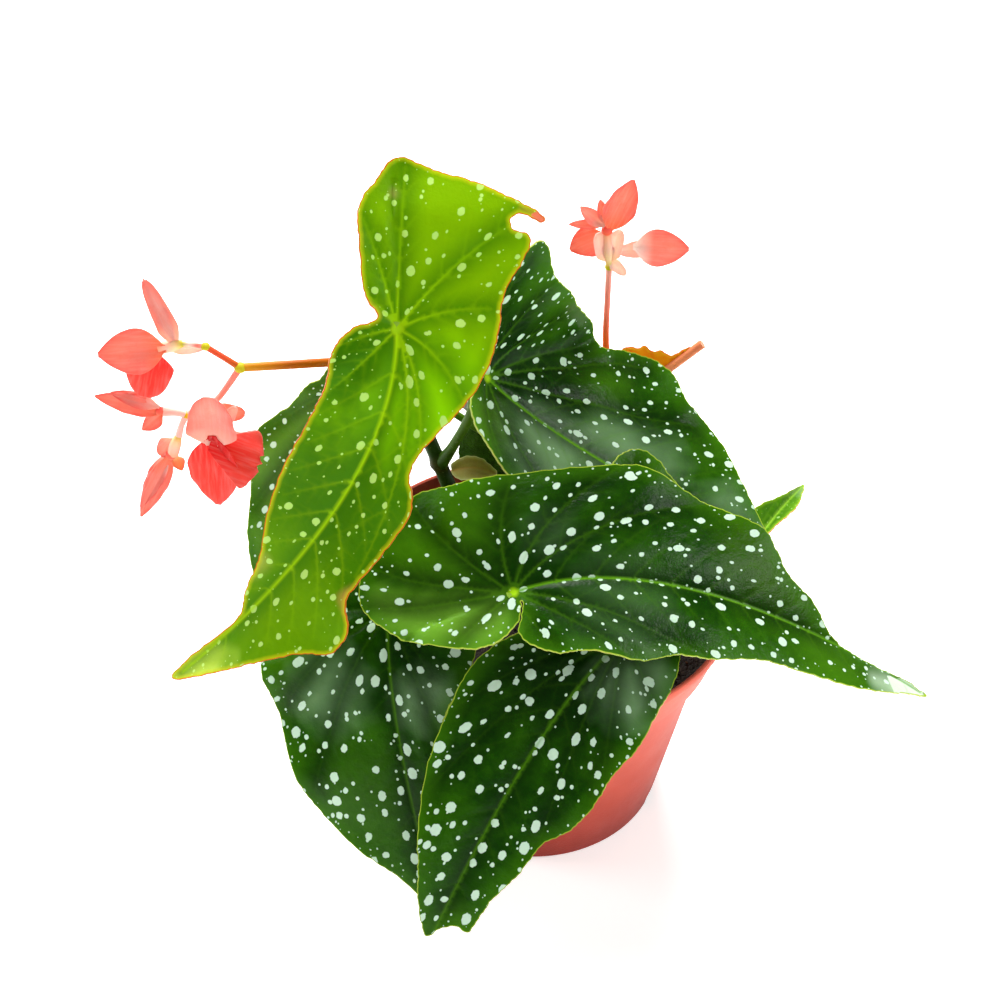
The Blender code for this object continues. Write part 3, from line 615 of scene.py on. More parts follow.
def lump(shape):
    """One uneven lump, about 2 mm across, as an ico sphere pushed in and out by noise."""
    bpy.ops.mesh.primitive_ico_sphere_add(subdivisions=2, radius=MM)
    obj = bpy.context.object
    for vertex in obj.data.vertices:
        push = noise.noise(vertex.co / MM * 0.9 + Vector((7 * shape, 0, 0)))
        vertex.co *= 1 + 0.55 * push
        vertex.co.z *= 0.7
    return obj


def make_crumbs():
    """Crumbs scattered over the soil, in one object."""
    draw = random.Random(SOIL_SEED)
    lumps = [lump(shape) for shape in range(3)]
    finishes = [earth_finish("soil crumb", tone(22, 15, 11), tone(60, 42, 30), 0.6),
                earth_finish("bark crumb", tone(60, 34, 20), tone(112, 70, 44), 0.6),
                earth_finish("white grain", tone(168, 160, 150), tone(224, 220, 212), 0.6)]
    edge = COLLAR_FOOT_RADIUS - 1.5
    pieces = []
    for _ in range(CRUMBS):
        radius, turn = edge * math.sqrt(draw.random()), draw.uniform(0, 2 * math.pi)
        x, y = radius * math.cos(turn), radius * math.sin(turn)
        crumb = draw.choice(lumps).copy()
        crumb.data = crumb.data.copy()
        crumb.data.materials.append(draw.choices(finishes, CRUMB_SHARES)[0])
        size = draw.uniform(0.35, 1.0) * draw.uniform(0.5, 1.15)
        crumb.scale = [size * draw.uniform(0.7, 1.3) for _ in range(3)]
        crumb.rotation_euler = [draw.uniform(0, CRUMB_TURN) for _ in range(3)]
        crumb.location = Vector((x, y, soil_height(x, y) - 0.35 + size * 0.3)) * MM
        bpy.context.scene.collection.objects.link(crumb)
        pieces.append(crumb)
    for obj in lumps:
        bpy.data.objects.remove(obj)
    crumbs = joined("soil_crumbs", pieces)
    bpy.ops.object.transform_apply()
    settle(smooth(crumbs, 70), "soil")


make_soil()
make_crumbs()

# %% [markdown]
# ## How a leaf is laid out
#
# A begonia's leaf is lopsided: one half is much wider, and it runs on behind the joint in an ear. Each
# leaf is drawn flat first, in millimetres from its joint, with x along the midrib and y to its left.
# Then the midrib is laid through three points in space, and the halves fold and curl from it. A formula
# does that, and not edit mode, because the veins, the waves and the spots all have to follow the same
# flat drawing, and the solids of the frame were bent by the same formula.
#
# "faces" says which way the blade looks at the midrib's start, half and end. "veins" are the flat
# places where the side veins end. "spots" shifts a leaf's spots, so that no two leaves have the same
# ones, and scales them. "ribs" scales how bright the veins are, and "side_glow" is what the side veins
# get of it. "patches" are soft areas of another colour, each with its middle, its radius and its
# share: the mint tips and the fresh lobes, painted shade where folds and other leaves shade the blade,
# and painted sheen where its gloss catches the light. What a leaf doesn't give is as on a plain blade.

# %% Leaves
MINT = tone(204, 228, 196)
FRESH = tone(112, 166, 46)
LIME = tone(130, 172, 0)
LIME_BRIGHT = tone(150, 216, 0)
LIME_DEEP = tone(58, 108, 0)
LIME_SHADE = tone(42, 90, 0)
LIME_LOW = tone(104, 152, 0)
LIME_TIP = tone(214, 236, 90)
# Painted shade, for the dark patches where folds and other leaves shade a blade.
PAINTED_SHADE = tone(6, 36, 0)
LEAF = tone(62, 112, 6)
MOSS = tone(50, 88, 0)
# Painted sheen: the pale grey-green where a leaf's gloss catches the light, the second on a leaf in
# shade.
SHEEN = tone(122, 158, 110)
SHADE_SHEEN = tone(68, 98, 58)
BLUSH_EDGE = tone(224, 116, 90)
SCRATCH = tone(190, 176, 90)
PLAIN_BLADE = dict(
    left_fold=(5, 5, 5), right_fold=(5, 5, 5), left_curl=(0, 0, 0), right_curl=(0, 0, 0), back=0,
    crease=None, wave_reach=25.0, spots=(0.0, 1.0), ribs=1.0, side_glow=0.42, patches=[])
LEAVES = {
    "leaf_lime": dict(
        midrib=[(-36, -20, 180), (-52, -34, 136), (-101, -38, 77)],
        faces=[(0.1, -0.85, 0.5), (0.0, -0.8, 0.6), (-0.1, -0.6, 0.8)],
        left_fold=(12, 10, 10), right_fold=(12, 12, 10),
        left_curl=(-10, -20, 0), right_curl=(-10, -20, 0), back=-8,
        wave=(1.0, 31, 0.5),
        veins=[(-40, 3), (-28, 33), (-5, 24), (14, 19), (-27, -8), (-10, -9), (5, -15), (20, -15),
               (36, 15), (62, 15)],
        side_glow=0.8,
        patches=[(-22, 12, 34, 0.9, LIME), (52, 0, 30, 0.8, LIME_DEEP), (6, -10, 14, 0.9, LIME_SHADE),
                 (18, 11, 15, 0.9, LIME_BRIGHT), (86, 2, 24, 0.8, LIME_LOW),
                 (122, 0, 16, 0.95, LIME_TIP), (66, 19, 4, 0.9, BLUSH_EDGE), (80, -9, 5, 0.7, SCRATCH),
                 (-27, 36, 5, 1.0, BLUSH_EDGE), (-33, 0, 1.6, 0.8, SCRATCH)],
        outline=[(-3, -5), (-9, -8), (-20, -9), (-30, -9), (-36.5, -4.5), (-42, 1), (-38.5, 11),
                 (-36, 20), (-32, 29), (-29.5, 34), (-27, 36.8), (-26.2, 35.2), (-28.2, 31.6),
                 (-27, 28.4), (-24.6, 29), (-23, 33), (-18, 32), (-9, 27), (1, 25), (11, 21), (23, 14),
                 (32, 12), (40, 17), (52, 17), (67, 17), (73, 23), (81, 24), (88, 18), (100, 12),
                 (110, 8), (128, 0), (118, -2), (98, -1), (88, -5), (77, -8), (63, -14), (48, -17),
                 (31, -17), (18, -16), (7, -16), (0, -12)]),
    "leaf_centre": dict(
        midrib=[(-7, -47, 117), (43, -39, 110), (110, -39, 70)],
        faces=[(0.0, -0.5, 0.87), (0.1, -0.42, 0.9), (0.35, -0.4, 0.85)],
        left_fold=(10, 12, 10), right_fold=(5, 5, 10),
        left_curl=(-20, -10, 0), right_curl=(-10, -40, 0), back=-10,
        wave=(1.0, 37, 2.0),
        veins=[(-37, 10), (-34, 21), (-17, 33), (8, 31), (30, 31), (52, 25), (-19, -8), (6, -17),
               (30, -21), (54, -18)],
        spots=(0.37, 1.0),
        patches=[(-20, 16, 18, 0.8, LEAF), (-4, 27, 12, 0.6, LEAF), (22, 20, 16, 0.15, PAINTED_SHADE),
                 (-10, -6, 9, 0.85, FRESH), (-22, -3, 11, 0.9, FRESH), (-33, 6, 8, 0.8, FRESH),
                 (12, 13, 7, 0.6, SHADE_SHEEN), (28, -10, 16, 0.6, SHADE_SHEEN),
                 (72, 16, 18, 0.8, MOSS), (96, -4, 16, 0.75, LEAF), (118, -3, 9, 1.0, MINT),
                 (126, 0, 10, 1.0, MINT)],
        outline=[(0.6, -4.5), (-1.7, -8), (-7, -10.8), (-13, -11), (-20, -8), (-31, -1), (-37, 6),
                 (-39, 12), (-36, 20), (-28, 28), (-21, 34), (-14, 35), (-7, 33), (0, 32), (10, 31),
                 (23, 31), (34, 31), (47, 26), (57, 24), (66, 22), (71, 17), (76, 12), (85, 8), (93, 2),
                 (101, 0), (112, 0), (122, 1), (130, 0), (123, -3), (114, -7), (101, -11), (86, -13),
                 (73, -14), (58, -18), (46, -19), (34, -22), (17, -20), (7.4, -19.2), (1.2, -16.4),
                 (-1.7, -13.4), (-2.3, -10.4), (-1.4, -8.5), (-0.2, -6.7), (1.2, -4.3), (1, -3)]),
    "leaf_upper_right": dict(
        midrib=[(-14, 3, 150), (19, -1, 124), (72, -9, 97)],
        faces=[(0.1, -0.3, 0.95), (0.3, -0.3, 0.9), (0.4, -0.3, 0.85)],
        left_fold=(8, 8, 8), right_fold=(0, 0, 5), right_curl=(-10, -10, 0), crease=(50, 55, 8),
        wave=(1.0, 29, 1.0),
        veins=[(-31, 21), (-13, 27), (6, 31), (24, 31), (45, 37), (14, -19), (38, -22), (64, 25)],
        spots=(0.71, 1.0),
        ribs=1.2,
        patches=[(-8, 15, 12, 0.6, PAINTED_SHADE), (-16, 28, 12, 0.6, LEAF), (2, 26, 10, 0.5, LEAF),
                 (30, 23, 12, 0.7, LEAF), (66, 22, 14, 0.2, LEAF), (5, -12, 9, 0.7, FRESH),
                 (24, -7, 14, 0.9, SHEEN), (42, 4, 13, 0.6, SHEEN), (56, 9, 10, 0.4, SHEEN),
                 (24, 12, 9, 0.7, PAINTED_SHADE), (52, 19, 9, 0.5, PAINTED_SHADE), (82, 4, 10, 0.4, SHEEN),
                 (94, 1, 4, 0.8, MINT)],
        outline=[(-3, -4), (-12, 0), (-22, 6), (-30, 14), (-34, 23), (-32, 27), (-21, 27), (-9, 30),
                 (4, 31.5), (13, 34.5), (20, 36), (27, 32), (31, 33), (38, 37), (46, 40.5), (53, 38),
                 (59, 31), (68, 28), (75, 24.5), (83, 15.5), (89, 9), (96, 1), (91, -5), (80, -13),
                 (60, -20), (40, -24), (24, -23), (15, -21), (9, -18), (3, -15), (-1, -11), (-2, -7)]),
    "leaf_front": dict(
        midrib=[(22, -47, 100), (-2, -67, 78), (-29, -91, 31)],
        faces=[(-0.1, -0.7, 0.7), (0.0, -0.75, 0.65), (0.0, -0.9, 0.45)],
        left_curl=(0, -10, 0), right_curl=(0, -20, 0),
        wave=(1.0, 33, 0.0),
        veins=[(18, -21), (40, -24), (62, -19), (-12, 8), (8, 19), (36, 20), (60, 14)],
        spots=(1.13, 1.25),
        ribs=0.6,
        # The first patch is painted shadow of the centre leaf above, and the second is painted sheen.
        patches=[(20, -4, 16, 0.8, PAINTED_SHADE), (7, 11, 12, 0.9, SHEEN), (30, 20, 7, 0.4, LEAF),
                 (92, 4, 7, 0.7, LEAF)],
        outline=[(3, -3), (8, -14), (17, -22), (28, -26), (40, -25), (56, -22), (72, -16), (80, -12),
                 (89, -8), (98, -2), (95, 1), (92, 4), (92, 8), (88, 9), (80, 10), (70, 13), (59, 15),
                 (52, 19), (42, 21), (31, 21), (20, 22), (8, 20), (-1, 18), (-9, 13), (-15, 6),
                 (-13, 0), (-7, -3)]),
    "leaf_lower_left": dict(
        midrib=[(-41, -36, 100), (-38, -57, 73), (-28, -76, 24)],
        faces=[(-0.3, -0.7, 0.6), (-0.2, -0.85, 0.5), (-0.1, -0.9, 0.4)],
        left_fold=(-10, -2, 0), right_fold=(0, 0, 0), right_curl=(-20, -20, 0),
        wave=(1.0, 30, 1.5),
        veins=[(-12, -13), (4, -35), (26, -35), (50, -28), (18, 11), (44, 14)],
        spots=(1.59, 1.2),
        ribs=0.5,
        patches=[(14, -34, 14, 0.7, LEAF), (20, -18, 12, 0.55, SHEEN), (24, -4, 7, 0.6, PAINTED_SHADE),
                 (25, 9, 9, 0.85, SHEEN), (50, -14, 20, 0.4, LEAF)],
        outline=[(-3, -2), (-10, -6), (-14, -15), (-10, -28), (2, -37), (14, -40), (24, -37), (42, -33),
                 (54, -28), (66, -19), (76, -9), (88, -1), (84, 5), (68, 11), (46, 14), (32, 13),
                 (22, 19), (12, 24), (2, 21), (-4, 13), (-5, 4)]),
    "leaf_left_rear": dict(
        midrib=[(-47, 3, 148), (-65, 3, 108), (-83, -3, 62)],
        faces=[(-0.1, -0.6, 0.75), (-0.2, -0.7, 0.65), (-0.2, -0.8, 0.5)],
        wave=(1.0, 26, 1.0),
        veins=[(12, -14), (34, -21), (56, -15), (26, 13), (52, 12)],
        spots=(2.03, 0.9),
        # The fresh patch here is painted sheen, the pale haze over this leaf.
        patches=[(34, -12, 40, 0.7, FRESH)],
        outline=[(-3, -2), (-10, -4), (-8, -10), (0, -12), (7, -12), (13, -15), (21, -17), (36, -23),
                 (52, -18), (69, -12), (82, -5), (94, 0), (84, 6), (66, 11), (46, 14), (28, 14),
                 (14, 10), (3, 5)]),
    "leaf_under_centre": dict(
        midrib=[(28, -15.2, 125.2), (36, -18.2, 118.7), (45, -21.2, 110.7)],
        faces=[(0.1, -0.4, 0.9), (0.1, -0.4, 0.9), (0.2, -0.4, 0.88)],
        right_curl=(-20, -20, 0),
        wave=(0.5, 20, 0.0),
        veins=[(-8, 6), (12, 7), (8, -7)],
        spots=(2.47, 0.8),
        patches=[(4, 4, 14, 0.5, LEAF)],
        outline=[(0, -3), (-6, -5), (-11, -1), (-10.5, 5), (-8.7, 8), (-5.6, 9.8), (-1.5, 10), (3, 9),
                 (9, 8), (16, 5), (25, 0), (17, -5), (8, -7)]),
    "leaf_right_tip": dict(
        midrib=[(63, 4, 84), (73, 22, 84), (87, 45, 80)],
        faces=[(0.0, -0.3, 0.95), (0.1, -0.3, 0.95), (0.1, -0.3, 0.85)],
        left_fold=(20, 20, 20), right_fold=(20, 20, 20),
        wave=(0.3, 15, 0.0),
        veins=[(18, 6), (30, 3), (16, -4)],
        spots=(2.9, 0.8),
        patches=[(46, 0, 7, 0.4, MINT)],
        outline=[(-2, 0), (-2, 4), (6, 7), (20, 6.2), (34, 2.6), (48, 0), (41, -2.4), (33, -3.9),
                 (26, -3.6), (19, -2.5), (12, -2), (4, -4), (-1, -3)]),
    "leaf_rear": dict(
        midrib=[(-6, 34, 122), (-4, 57, 96), (0, 80, 60)],
        faces=[(0.0, 0.5, 0.85), (0.0, 0.75, 0.65), (0.0, 0.85, 0.5)],
        left_fold=(8, 8, 8), right_fold=(8, 8, 8),
        left_curl=(-20, -20, 0), right_curl=(-20, -20, 0), back=-10,
        wave=(1.0, 24, 0.7),
        veins=[(-10, 14), (6, 18), (26, 15), (-4, -14), (14, -17), (34, -13)],
        spots=(3.31, 1.0),
        patches=[(10, 0, 20, 0.4, PAINTED_SHADE), (62, 0, 8, 0.6, FRESH)],
        outline=[(-3, -2), (-9, -8), (-6, -17), (6, -20), (20, -19), (36, -15), (52, -7), (66, 0),
                 (52, 6), (34, 14), (16, 19), (2, 21), (-11, 18), (-15, 9), (-9, 3)]),
    "leaf_inner": dict(
        midrib=[(-15, 24, 124), (-8, 33, 106), (-2, 38, 86)],
        faces=[(0.1, 0.85, 0.5), (0.05, 0.9, 0.4), (0.0, 0.95, 0.25)],
        left_curl=(-10, -10, 0), right_curl=(-10, -10, 0),
        wave=(0.6, 20, 0.4),
        veins=[(6, -8), (20, -7), (16, 11), (28, 13)],
        spots=(3.77, 0.9),
        patches=[(20, 0, 20, 0.4, LEAF)],
        outline=[(-2, -2), (-5, -6), (0, -9), (8, -10), (18, -9), (30, -7), (42, -3), (50, 1), (45, 9),
                 (35, 17), (27, 18), (18, 14), (8, 9), (-2, 4)]),
    "young_leaf": dict(
        midrib=[(36, 41, 124), (42, 41, 131), (49, 41, 138)],
        faces=[(0.0, -0.9, 0.4), (0.0, -0.9, 0.4), (0.0, -0.9, 0.4)],
        left_fold=(0, 0, 0), right_fold=(0, 0, 0), left_curl=(30, 30, 30),
        wave=(1.0, 7, 0.0), wave_reach=14.0,
        veins=[(-2, 8), (2, 12), (6, 8)],
        outline=[(0, -1), (-4, 3), (-4, 8), (-1.8, 12.8), (1.8, 13.6), (3.2, 11.8), (4, 10), (5.4, 9.6),
                 (6, 6.6), (7.8, 5.2), (8.8, 2.4), (10.6, 1.2), (14, 0.6), (15, -1), (6, -1)]),
    "stipule": dict(
        midrib=[(-24.6, 17, 107.5), (-18, 16, 109.5), (-11.5, 14.5, 108)],
        faces=[(0.0, -0.5, 0.85), (0.0, -0.6, 0.8), (0.0, -0.5, 0.85)],
        left_fold=(0, 0, 0), right_fold=(0, 0, 0), left_curl=(40, 40, 40), right_curl=(40, 40, 40),
        wave=(0.4, 9, 0.0),
        veins=[(12, 2), (12, -2)],
        outline=[(-0.2, -1.5), (0.3, 2), (5, 3.5), (10, 2.5), (14, 0), (10, -3.5), (4, -4)]),
}
LEAVES = {name: {**PLAIN_BLADE, **blade} for name, blade in LEAVES.items()}
MIDRIB_STEPS = 60
CURL_REACH = 50
LEAST_CURL = 1e-6


def through(values, t):
    """A number or a point that runs through three given ones, at t = 0, 0.5 and 1."""
    start, half, end = [np.asarray(value, float) for value in values]
    t = np.clip(np.asarray(t, float), 0.0, 1.0)
    if start.ndim:
        t = t[..., None]
    return start * (1 - t) * (1 - 2 * t) + 4 * half * t * (1 - t) + end * t * (2 * t - 1)


def unit(vectors):
    """Vectors brought to a length of one."""
    return vectors / np.linalg.norm(vectors, axis=-1, keepdims=True)


def midrib_table(blade):
    """Distances along a midrib, with its points, directions, left sides and upper sides there."""
    t = np.linspace(0, 1, MIDRIB_STEPS + 1)
    points = through(blade["midrib"], t)
    along = np.r_[0, np.cumsum(np.linalg.norm(np.diff(points, axis=0), axis=1))]
    ahead = unit(np.gradient(points, axis=0))
    left = unit(np.cross(through(blade["faces"], t), ahead))
    return along, points, ahead, left, np.cross(ahead, left)


def creased(blade, x, y):
    """Bends a flat blade up beyond a straight line through its joint, if it has such a crease."""
    if not blade["crease"]:
        return x, y, np.zeros_like(x)
    turn, lift, width = blade["crease"]
    c, s = math.cos(math.radians(turn)), math.sin(math.radians(turn))
    beyond = c * y - s * x
    bend = math.radians(lift) / width
    bent = np.clip(beyond, 0, width)
    straight = np.clip(beyond - width, 0, None)
    turned = np.sin(bend * bent) / bend + straight * math.cos(bend * width)
    across = np.where(beyond < 0, beyond, turned)
    raised = (1 - np.cos(bend * bent)) / bend + straight * math.sin(bend * width)
    along = c * x + s * y
    return c * along - s * across, s * along + c * across, raised


def blade_points(blade, flat, relief=0.0):
    """Lays flat points in space, along the midrib, with the blade's folds and waves and a relief."""
    flat = np.asarray(flat, float)
    x, y, raised = creased(blade, flat[:, 0], flat[:, 1])
    along, *table = midrib_table(blade)
    on_midrib = np.clip(x, 0, along[-1])
    point, ahead, left, upper = [
        np.stack([np.interp(on_midrib, along, column) for column in rows.T], -1) for rows in table]
    over = x - on_midrib
    back = np.radians(blade["back"]) * (x < 0)
    point = point + (over * np.cos(back))[:, None] * ahead - (over * np.sin(back))[:, None] * upper
    t = np.clip(x / along[-1], 0, 1)
    out = np.abs(y)
    fold, curl = [np.radians(np.where(y > 0, through(blade["left_" + kind], t),
                                      through(blade["right_" + kind], t)))
                  for kind in ("fold", "curl")]
    curl = np.where(np.abs(curl) < LEAST_CURL, LEAST_CURL, curl) / CURL_REACH
    side = (np.sin(fold + curl * out) - np.sin(fold)) / curl * np.sign(y)
    lift = (np.cos(fold) - np.cos(fold + curl * out)) / curl + raised + relief
    height, length, start = blade["wave"]
    margin = np.clip(np.hypot(np.minimum(x, 0), y) / blade["wave_reach"], 0, 1.2) ** 2
    lift = lift + height * margin * np.sin(2 * np.pi * flat[:, 0] / length + start * np.sign(y))
    return point + side[:, None] * left + lift[:, None] * upper


# %% [markdown]
# ## Flat drawing of a blade
#
# The outline is a smooth curve through the drawn points, with the small uneven teeth that a begonia's
# margin has. A triangulation then fills it with points on a staggered grid, under a millimetre apart.

# %% Outline and sheet
LEAF_SPACING = 0.85
OUTLINE_PIECES = 10
TOOTH_DEPTH = 0.15
ROW_STEP = 0.87
RIB_STEP = 0.75
LEAST_GAP = 0.5
RIB_GAP = 0.62
GRID_PARTS = 40


def between(before, start, end, after, s):
    """The place at a share s of the way from start to end, on a smooth curve through all four."""
    return 0.5 * (2 * start + (end - before) * s
                  + (2 * before - 5 * start + 4 * end - after) * s ** 2
                  + (3 * start - before - 3 * end + after) * s ** 3)


def rounded(points, pieces):
    """A closed smooth curve through an outline's points, with each span cut into pieces."""
    points = np.array(points, float)
    before, after, later = np.roll(points, 1, 0), np.roll(points, -1, 0), np.roll(points, -2, 0)
    curve = [between(before, points, after, later, s) for s in np.arange(pieces) / pieces]
    return np.stack(curve, 1).reshape(-1, 2)


def toothed(outline, depth):
    """The outline with small uneven teeth, pushed in and out across it."""
    ahead = unit(np.roll(outline, -1, 0) - np.roll(outline, 1, 0))
    run = np.cumsum(np.linalg.norm(outline - np.roll(outline, 1, 0), axis=1))
    push = depth * (np.sin(run / 0.9) * np.sin(run / 4.7 + 1) + 0.6 * np.sin(run / 0.37))
    return outline + push[:, None] * np.c_[ahead[:, 1], -ahead[:, 0]]


def inside(outline, points):
    """Which points lie inside a closed outline."""
    x, y = points.T
    crossings = np.zeros(len(points), int)
    for (x0, y0), (x1, y1) in zip(outline, np.roll(outline, -1, 0)):
        level = (y0 > y) != (y1 > y)
        where = x0 + (y - y0) * (x1 - x0) / ((y1 - y0) or 1e-9)
        crossings += level & (x < where)
    return crossings % 2 == 1


def to_line(points, line):
    """Each point's distance to a line of points, and how far along it the nearest place is, 0 to 1."""
    start, run = line[:-1], np.diff(line, axis=0)
    t = ((points[:, None] - start) * run).sum(2) / np.maximum((run ** 2).sum(1), 1e-9)
    t = np.clip(t, 0, 1)
    gap = np.linalg.norm(points[:, None] - (start + t[..., None] * run), axis=2)
    near = gap.argmin(1)
    rows = np.arange(len(points))
    return gap[rows, near], (near + t[rows, near]) / len(start)


def to_margin(points, outline):
    """Each point's distance to a closed outline."""
    return to_line(points, np.r_[outline, outline[:1]])[0]


def spaced(points, gap):
    """The points that keep a gap from all the ones before them."""
    chosen = []
    for point in points:
        if not chosen or np.linalg.norm(np.array(chosen) - point, axis=1).min() > gap:
            chosen.append(point)
    return np.array(chosen)


def sheet(outline, spacing, lines):
    """Flat points and triangles that fill an outline, along its veins and on a staggered grid."""
    low, high = outline.min(0), outline.max(0)
    rows = np.arange(low[1], high[1], spacing * ROW_STEP)
    grid = np.array([(x + spacing / 2 * (i % 2), y) for i, y in enumerate(rows)
                     for x in np.arange(low[0], high[0], spacing)])
    along = []
    for line, _, _ in lines:
        run = np.r_[0, np.cumsum(np.linalg.norm(np.diff(line, axis=0), axis=1))]
        stops = np.arange(0, run[-1], spacing * RIB_STEP)
        along.append(np.c_[np.interp(stops, run, line[:, 0]), np.interp(stops, run, line[:, 1])])
    ribs = spaced(np.concatenate(along), spacing * LEAST_GAP)
    ribs, grid = [points[inside(outline, points)] for points in (ribs, grid)]
    ribs, grid = [points[to_margin(points, outline) > spacing * LEAST_GAP] for points in (ribs, grid)]
    nearest = np.concatenate([np.linalg.norm(part[:, None] - ribs, axis=2).min(1)
                              for part in np.array_split(grid, GRID_PARTS)])
    flat = [Vector(point) for point in np.r_[outline, ribs, grid[nearest > spacing * RIB_GAP]]]
    points, _, faces, *_ = delaunay_2d_cdt(flat, [], [list(range(len(outline)))], 1, 1e-5)
    return np.array([tuple(point) for point in points]), faces


# %% [markdown]
# ## Veins in relief
#
# From the joint a midrib runs to the tip and strong veins fan out, each with finer branches. They lie
# in the upper face as grooves and stand out below as ribs, and the blade swells between them like a
# quilt. Each vein is a flat line that bows back a little, and each point's distance to the nearest one
# says how deep it is sunk, how green it is and how much painted shade darkens its groove.

# %% Veins
SIDE_VEIN_STEP = 11.0
LONGEST_REACH = 90.0
SHORTEST_VEIN = 2
MIDRIB_STRENGTH = (1.0, 0.6)
SIDE_STRENGTH = (0.8, 0.25)
BRANCH_STRENGTH = (0.45, 0.15)
FINE_STEPS = (0.35, 0.58, 0.8)
VEIN_WIDTH = 0.25
VEIN_SINK = 0.4
QUILT_RISE = 0.8
QUILT_SPAN = 5.0
MAIN_VEIN = 0.5


def bowed(start, end, bow):
    """A flat line from start to end that bows back towards the leaf's rear."""
    start, end = np.array(start, float), np.array(end, float)
    t = np.linspace(0, 1, 13)[:, None]
    length = np.linalg.norm(end - start)
    return start + (end - start) * t + np.array([-bow * length, 0]) * 4 * t * (1 - t)


def till_margin(outline, start, direction):
    """How far it is from a point to the margin in a direction, in whole millimetres."""
    steps = np.arange(0.0, LONGEST_REACH)
    there = inside(outline, start + steps[:, None] * direction)
    return float(steps[np.argmin(there)]) if not there.all() else LONGEST_REACH


def turned_by(direction, degrees):
    """A flat direction turned to the left."""
    c, s = math.cos(math.radians(degrees)), math.sin(math.radians(degrees))
    return np.array([c * direction[0] - s * direction[1], s * direction[0] + c * direction[1]])


def branches(outline, line, steps, angle, share, most):
    """Side veins that leave a line on both sides, at steps along it, and stop short of the margin."""
    made = []
    for t in steps:
        k = min(int(t * (len(line) - 1)), len(line) - 2)
        start, ahead = line[k], unit(line[k + 1] - line[k])
        for side in (-1, 1):
            way = turned_by(ahead, side * angle)
            reach = min(till_margin(outline, start, way) * share, most)
            if reach > SHORTEST_VEIN:
                made.append(bowed(start, start + way * reach, 0.05))
    return made


def vein_lines(blade, outline, reach):
    """A blade's veins as lines, each with its strength at its start and at its end."""
    midrib = bowed((0, 0), (reach * 0.98, 0), 0)
    main = [(bowed((0, 0), end, 0.07), *SIDE_STRENGTH) for end in blade["veins"]]
    steps = np.arange(SIDE_VEIN_STEP * 1.6, reach * 0.9, SIDE_VEIN_STEP) / reach
    main += [(line, *BRANCH_STRENGTH)
             for line in branches(outline, midrib, steps, angle=42, share=0.86, most=40)]
    fine = []
    for line, strength, _ in main:
        length = np.linalg.norm(line[-1] - line[0])
        for side in branches(outline, line, FINE_STEPS, angle=38, share=0.8, most=length * 0.34):
            fine.append((side, strength * 0.35, 0.05))
    return [(midrib, *MIDRIB_STRENGTH), *main, *fine]


def vein_field(points, lines, side_glow):
    """At each point: how much of a vein it is, how deep it is sunk, and how far a main one is."""
    mask, sink, nearest = np.zeros(len(points)), np.zeros(len(points)), np.full(len(points), 99.0)
    for line, first, last in lines:
        gap, t = to_line(points, line)
        strength = first + (last - first) * t
        width = VEIN_WIDTH + VEIN_WIDTH * strength
        glow = 1.0 if first == MIDRIB_STRENGTH[0] else side_glow
        mask = np.maximum(mask, np.exp(-(gap / width) ** 2) * np.clip(strength * 1.2, 0, 1) * glow)
        sink = np.maximum(sink, np.exp(-(gap / (width + 0.5)) ** 2) * strength)
        if first > MAIN_VEIN:
            nearest = np.minimum(nearest, gap)
    return mask, sink, nearest


# %% [markdown]
# ## Leaf finishes
#
# The upper face is dark and satin, greener and lighter towards the margin, with pale spots between
# bright veins and a thin light line round its margin. Its lower face is paler and matt. Both read the
# flat drawing from the UV map and the veins from values kept on the mesh, so the finish follows every
# bend. Large spots are few, small ones are many and crowd the margin: three sizes of the same group.
# A patch that covers all of a place, as at a mint tip, lies over the rim's green too. Painted shade
# darkens the grooves beside the veins, and some patches are painted shade and painted sheen.


# %% Leaf finishes
STRONG_PATCH = 0.986
LEAF_JOINT = tone(160, 208, 20)


def flat_place(tree):
    """The flat place on a leaf, in millimetres, and how far it is from the joint."""
    uv = add(tree, "ShaderNodeUVMap", uv_map="flat").outputs[0]
    flat = sums(tree, "SCALE", uv, scale=FLAT_UNIT)
    return flat, sums(tree, "LENGTH", flat)


def all_spots(tree, flat, margin, sizes):
    """One mask of large, middling and small spots, the small ones mostly near the margin."""
    shift, grow = kept(tree, "shift"), kept(tree, "grow")
    large, middle, small = [times(tree, grow, size) for size in sizes]
    near = ramp(tree, margin, 8.0, 1.0)
    layers = [
        dict(Shift=shift, Cell=6.6, Stretch=0.8, Edge=0.16,
             Smallest=times(tree, large, 0.36), Largest=large, Share=0.8),
        dict(Shift=plus(tree, shift, 0.83), Cell=4.6, Stretch=0.7, Edge=0.14,
             Smallest=0.2, Largest=middle, Share=0.45),
        dict(Shift=plus(tree, shift, 1.97), Cell=2.6, Stretch=0.5, Edge=0.12,
             Smallest=0.1, Largest=small, Share=plus(tree, 0.06, times(tree, near, 0.5)))]
    masks = [use(tree, SPOTS, {"Flat": flat, **layer})["Mask"] for layer in layers]
    return maths(tree, "MAXIMUM", masks[0], maths(tree, "MAXIMUM", masks[1], masks[2]))


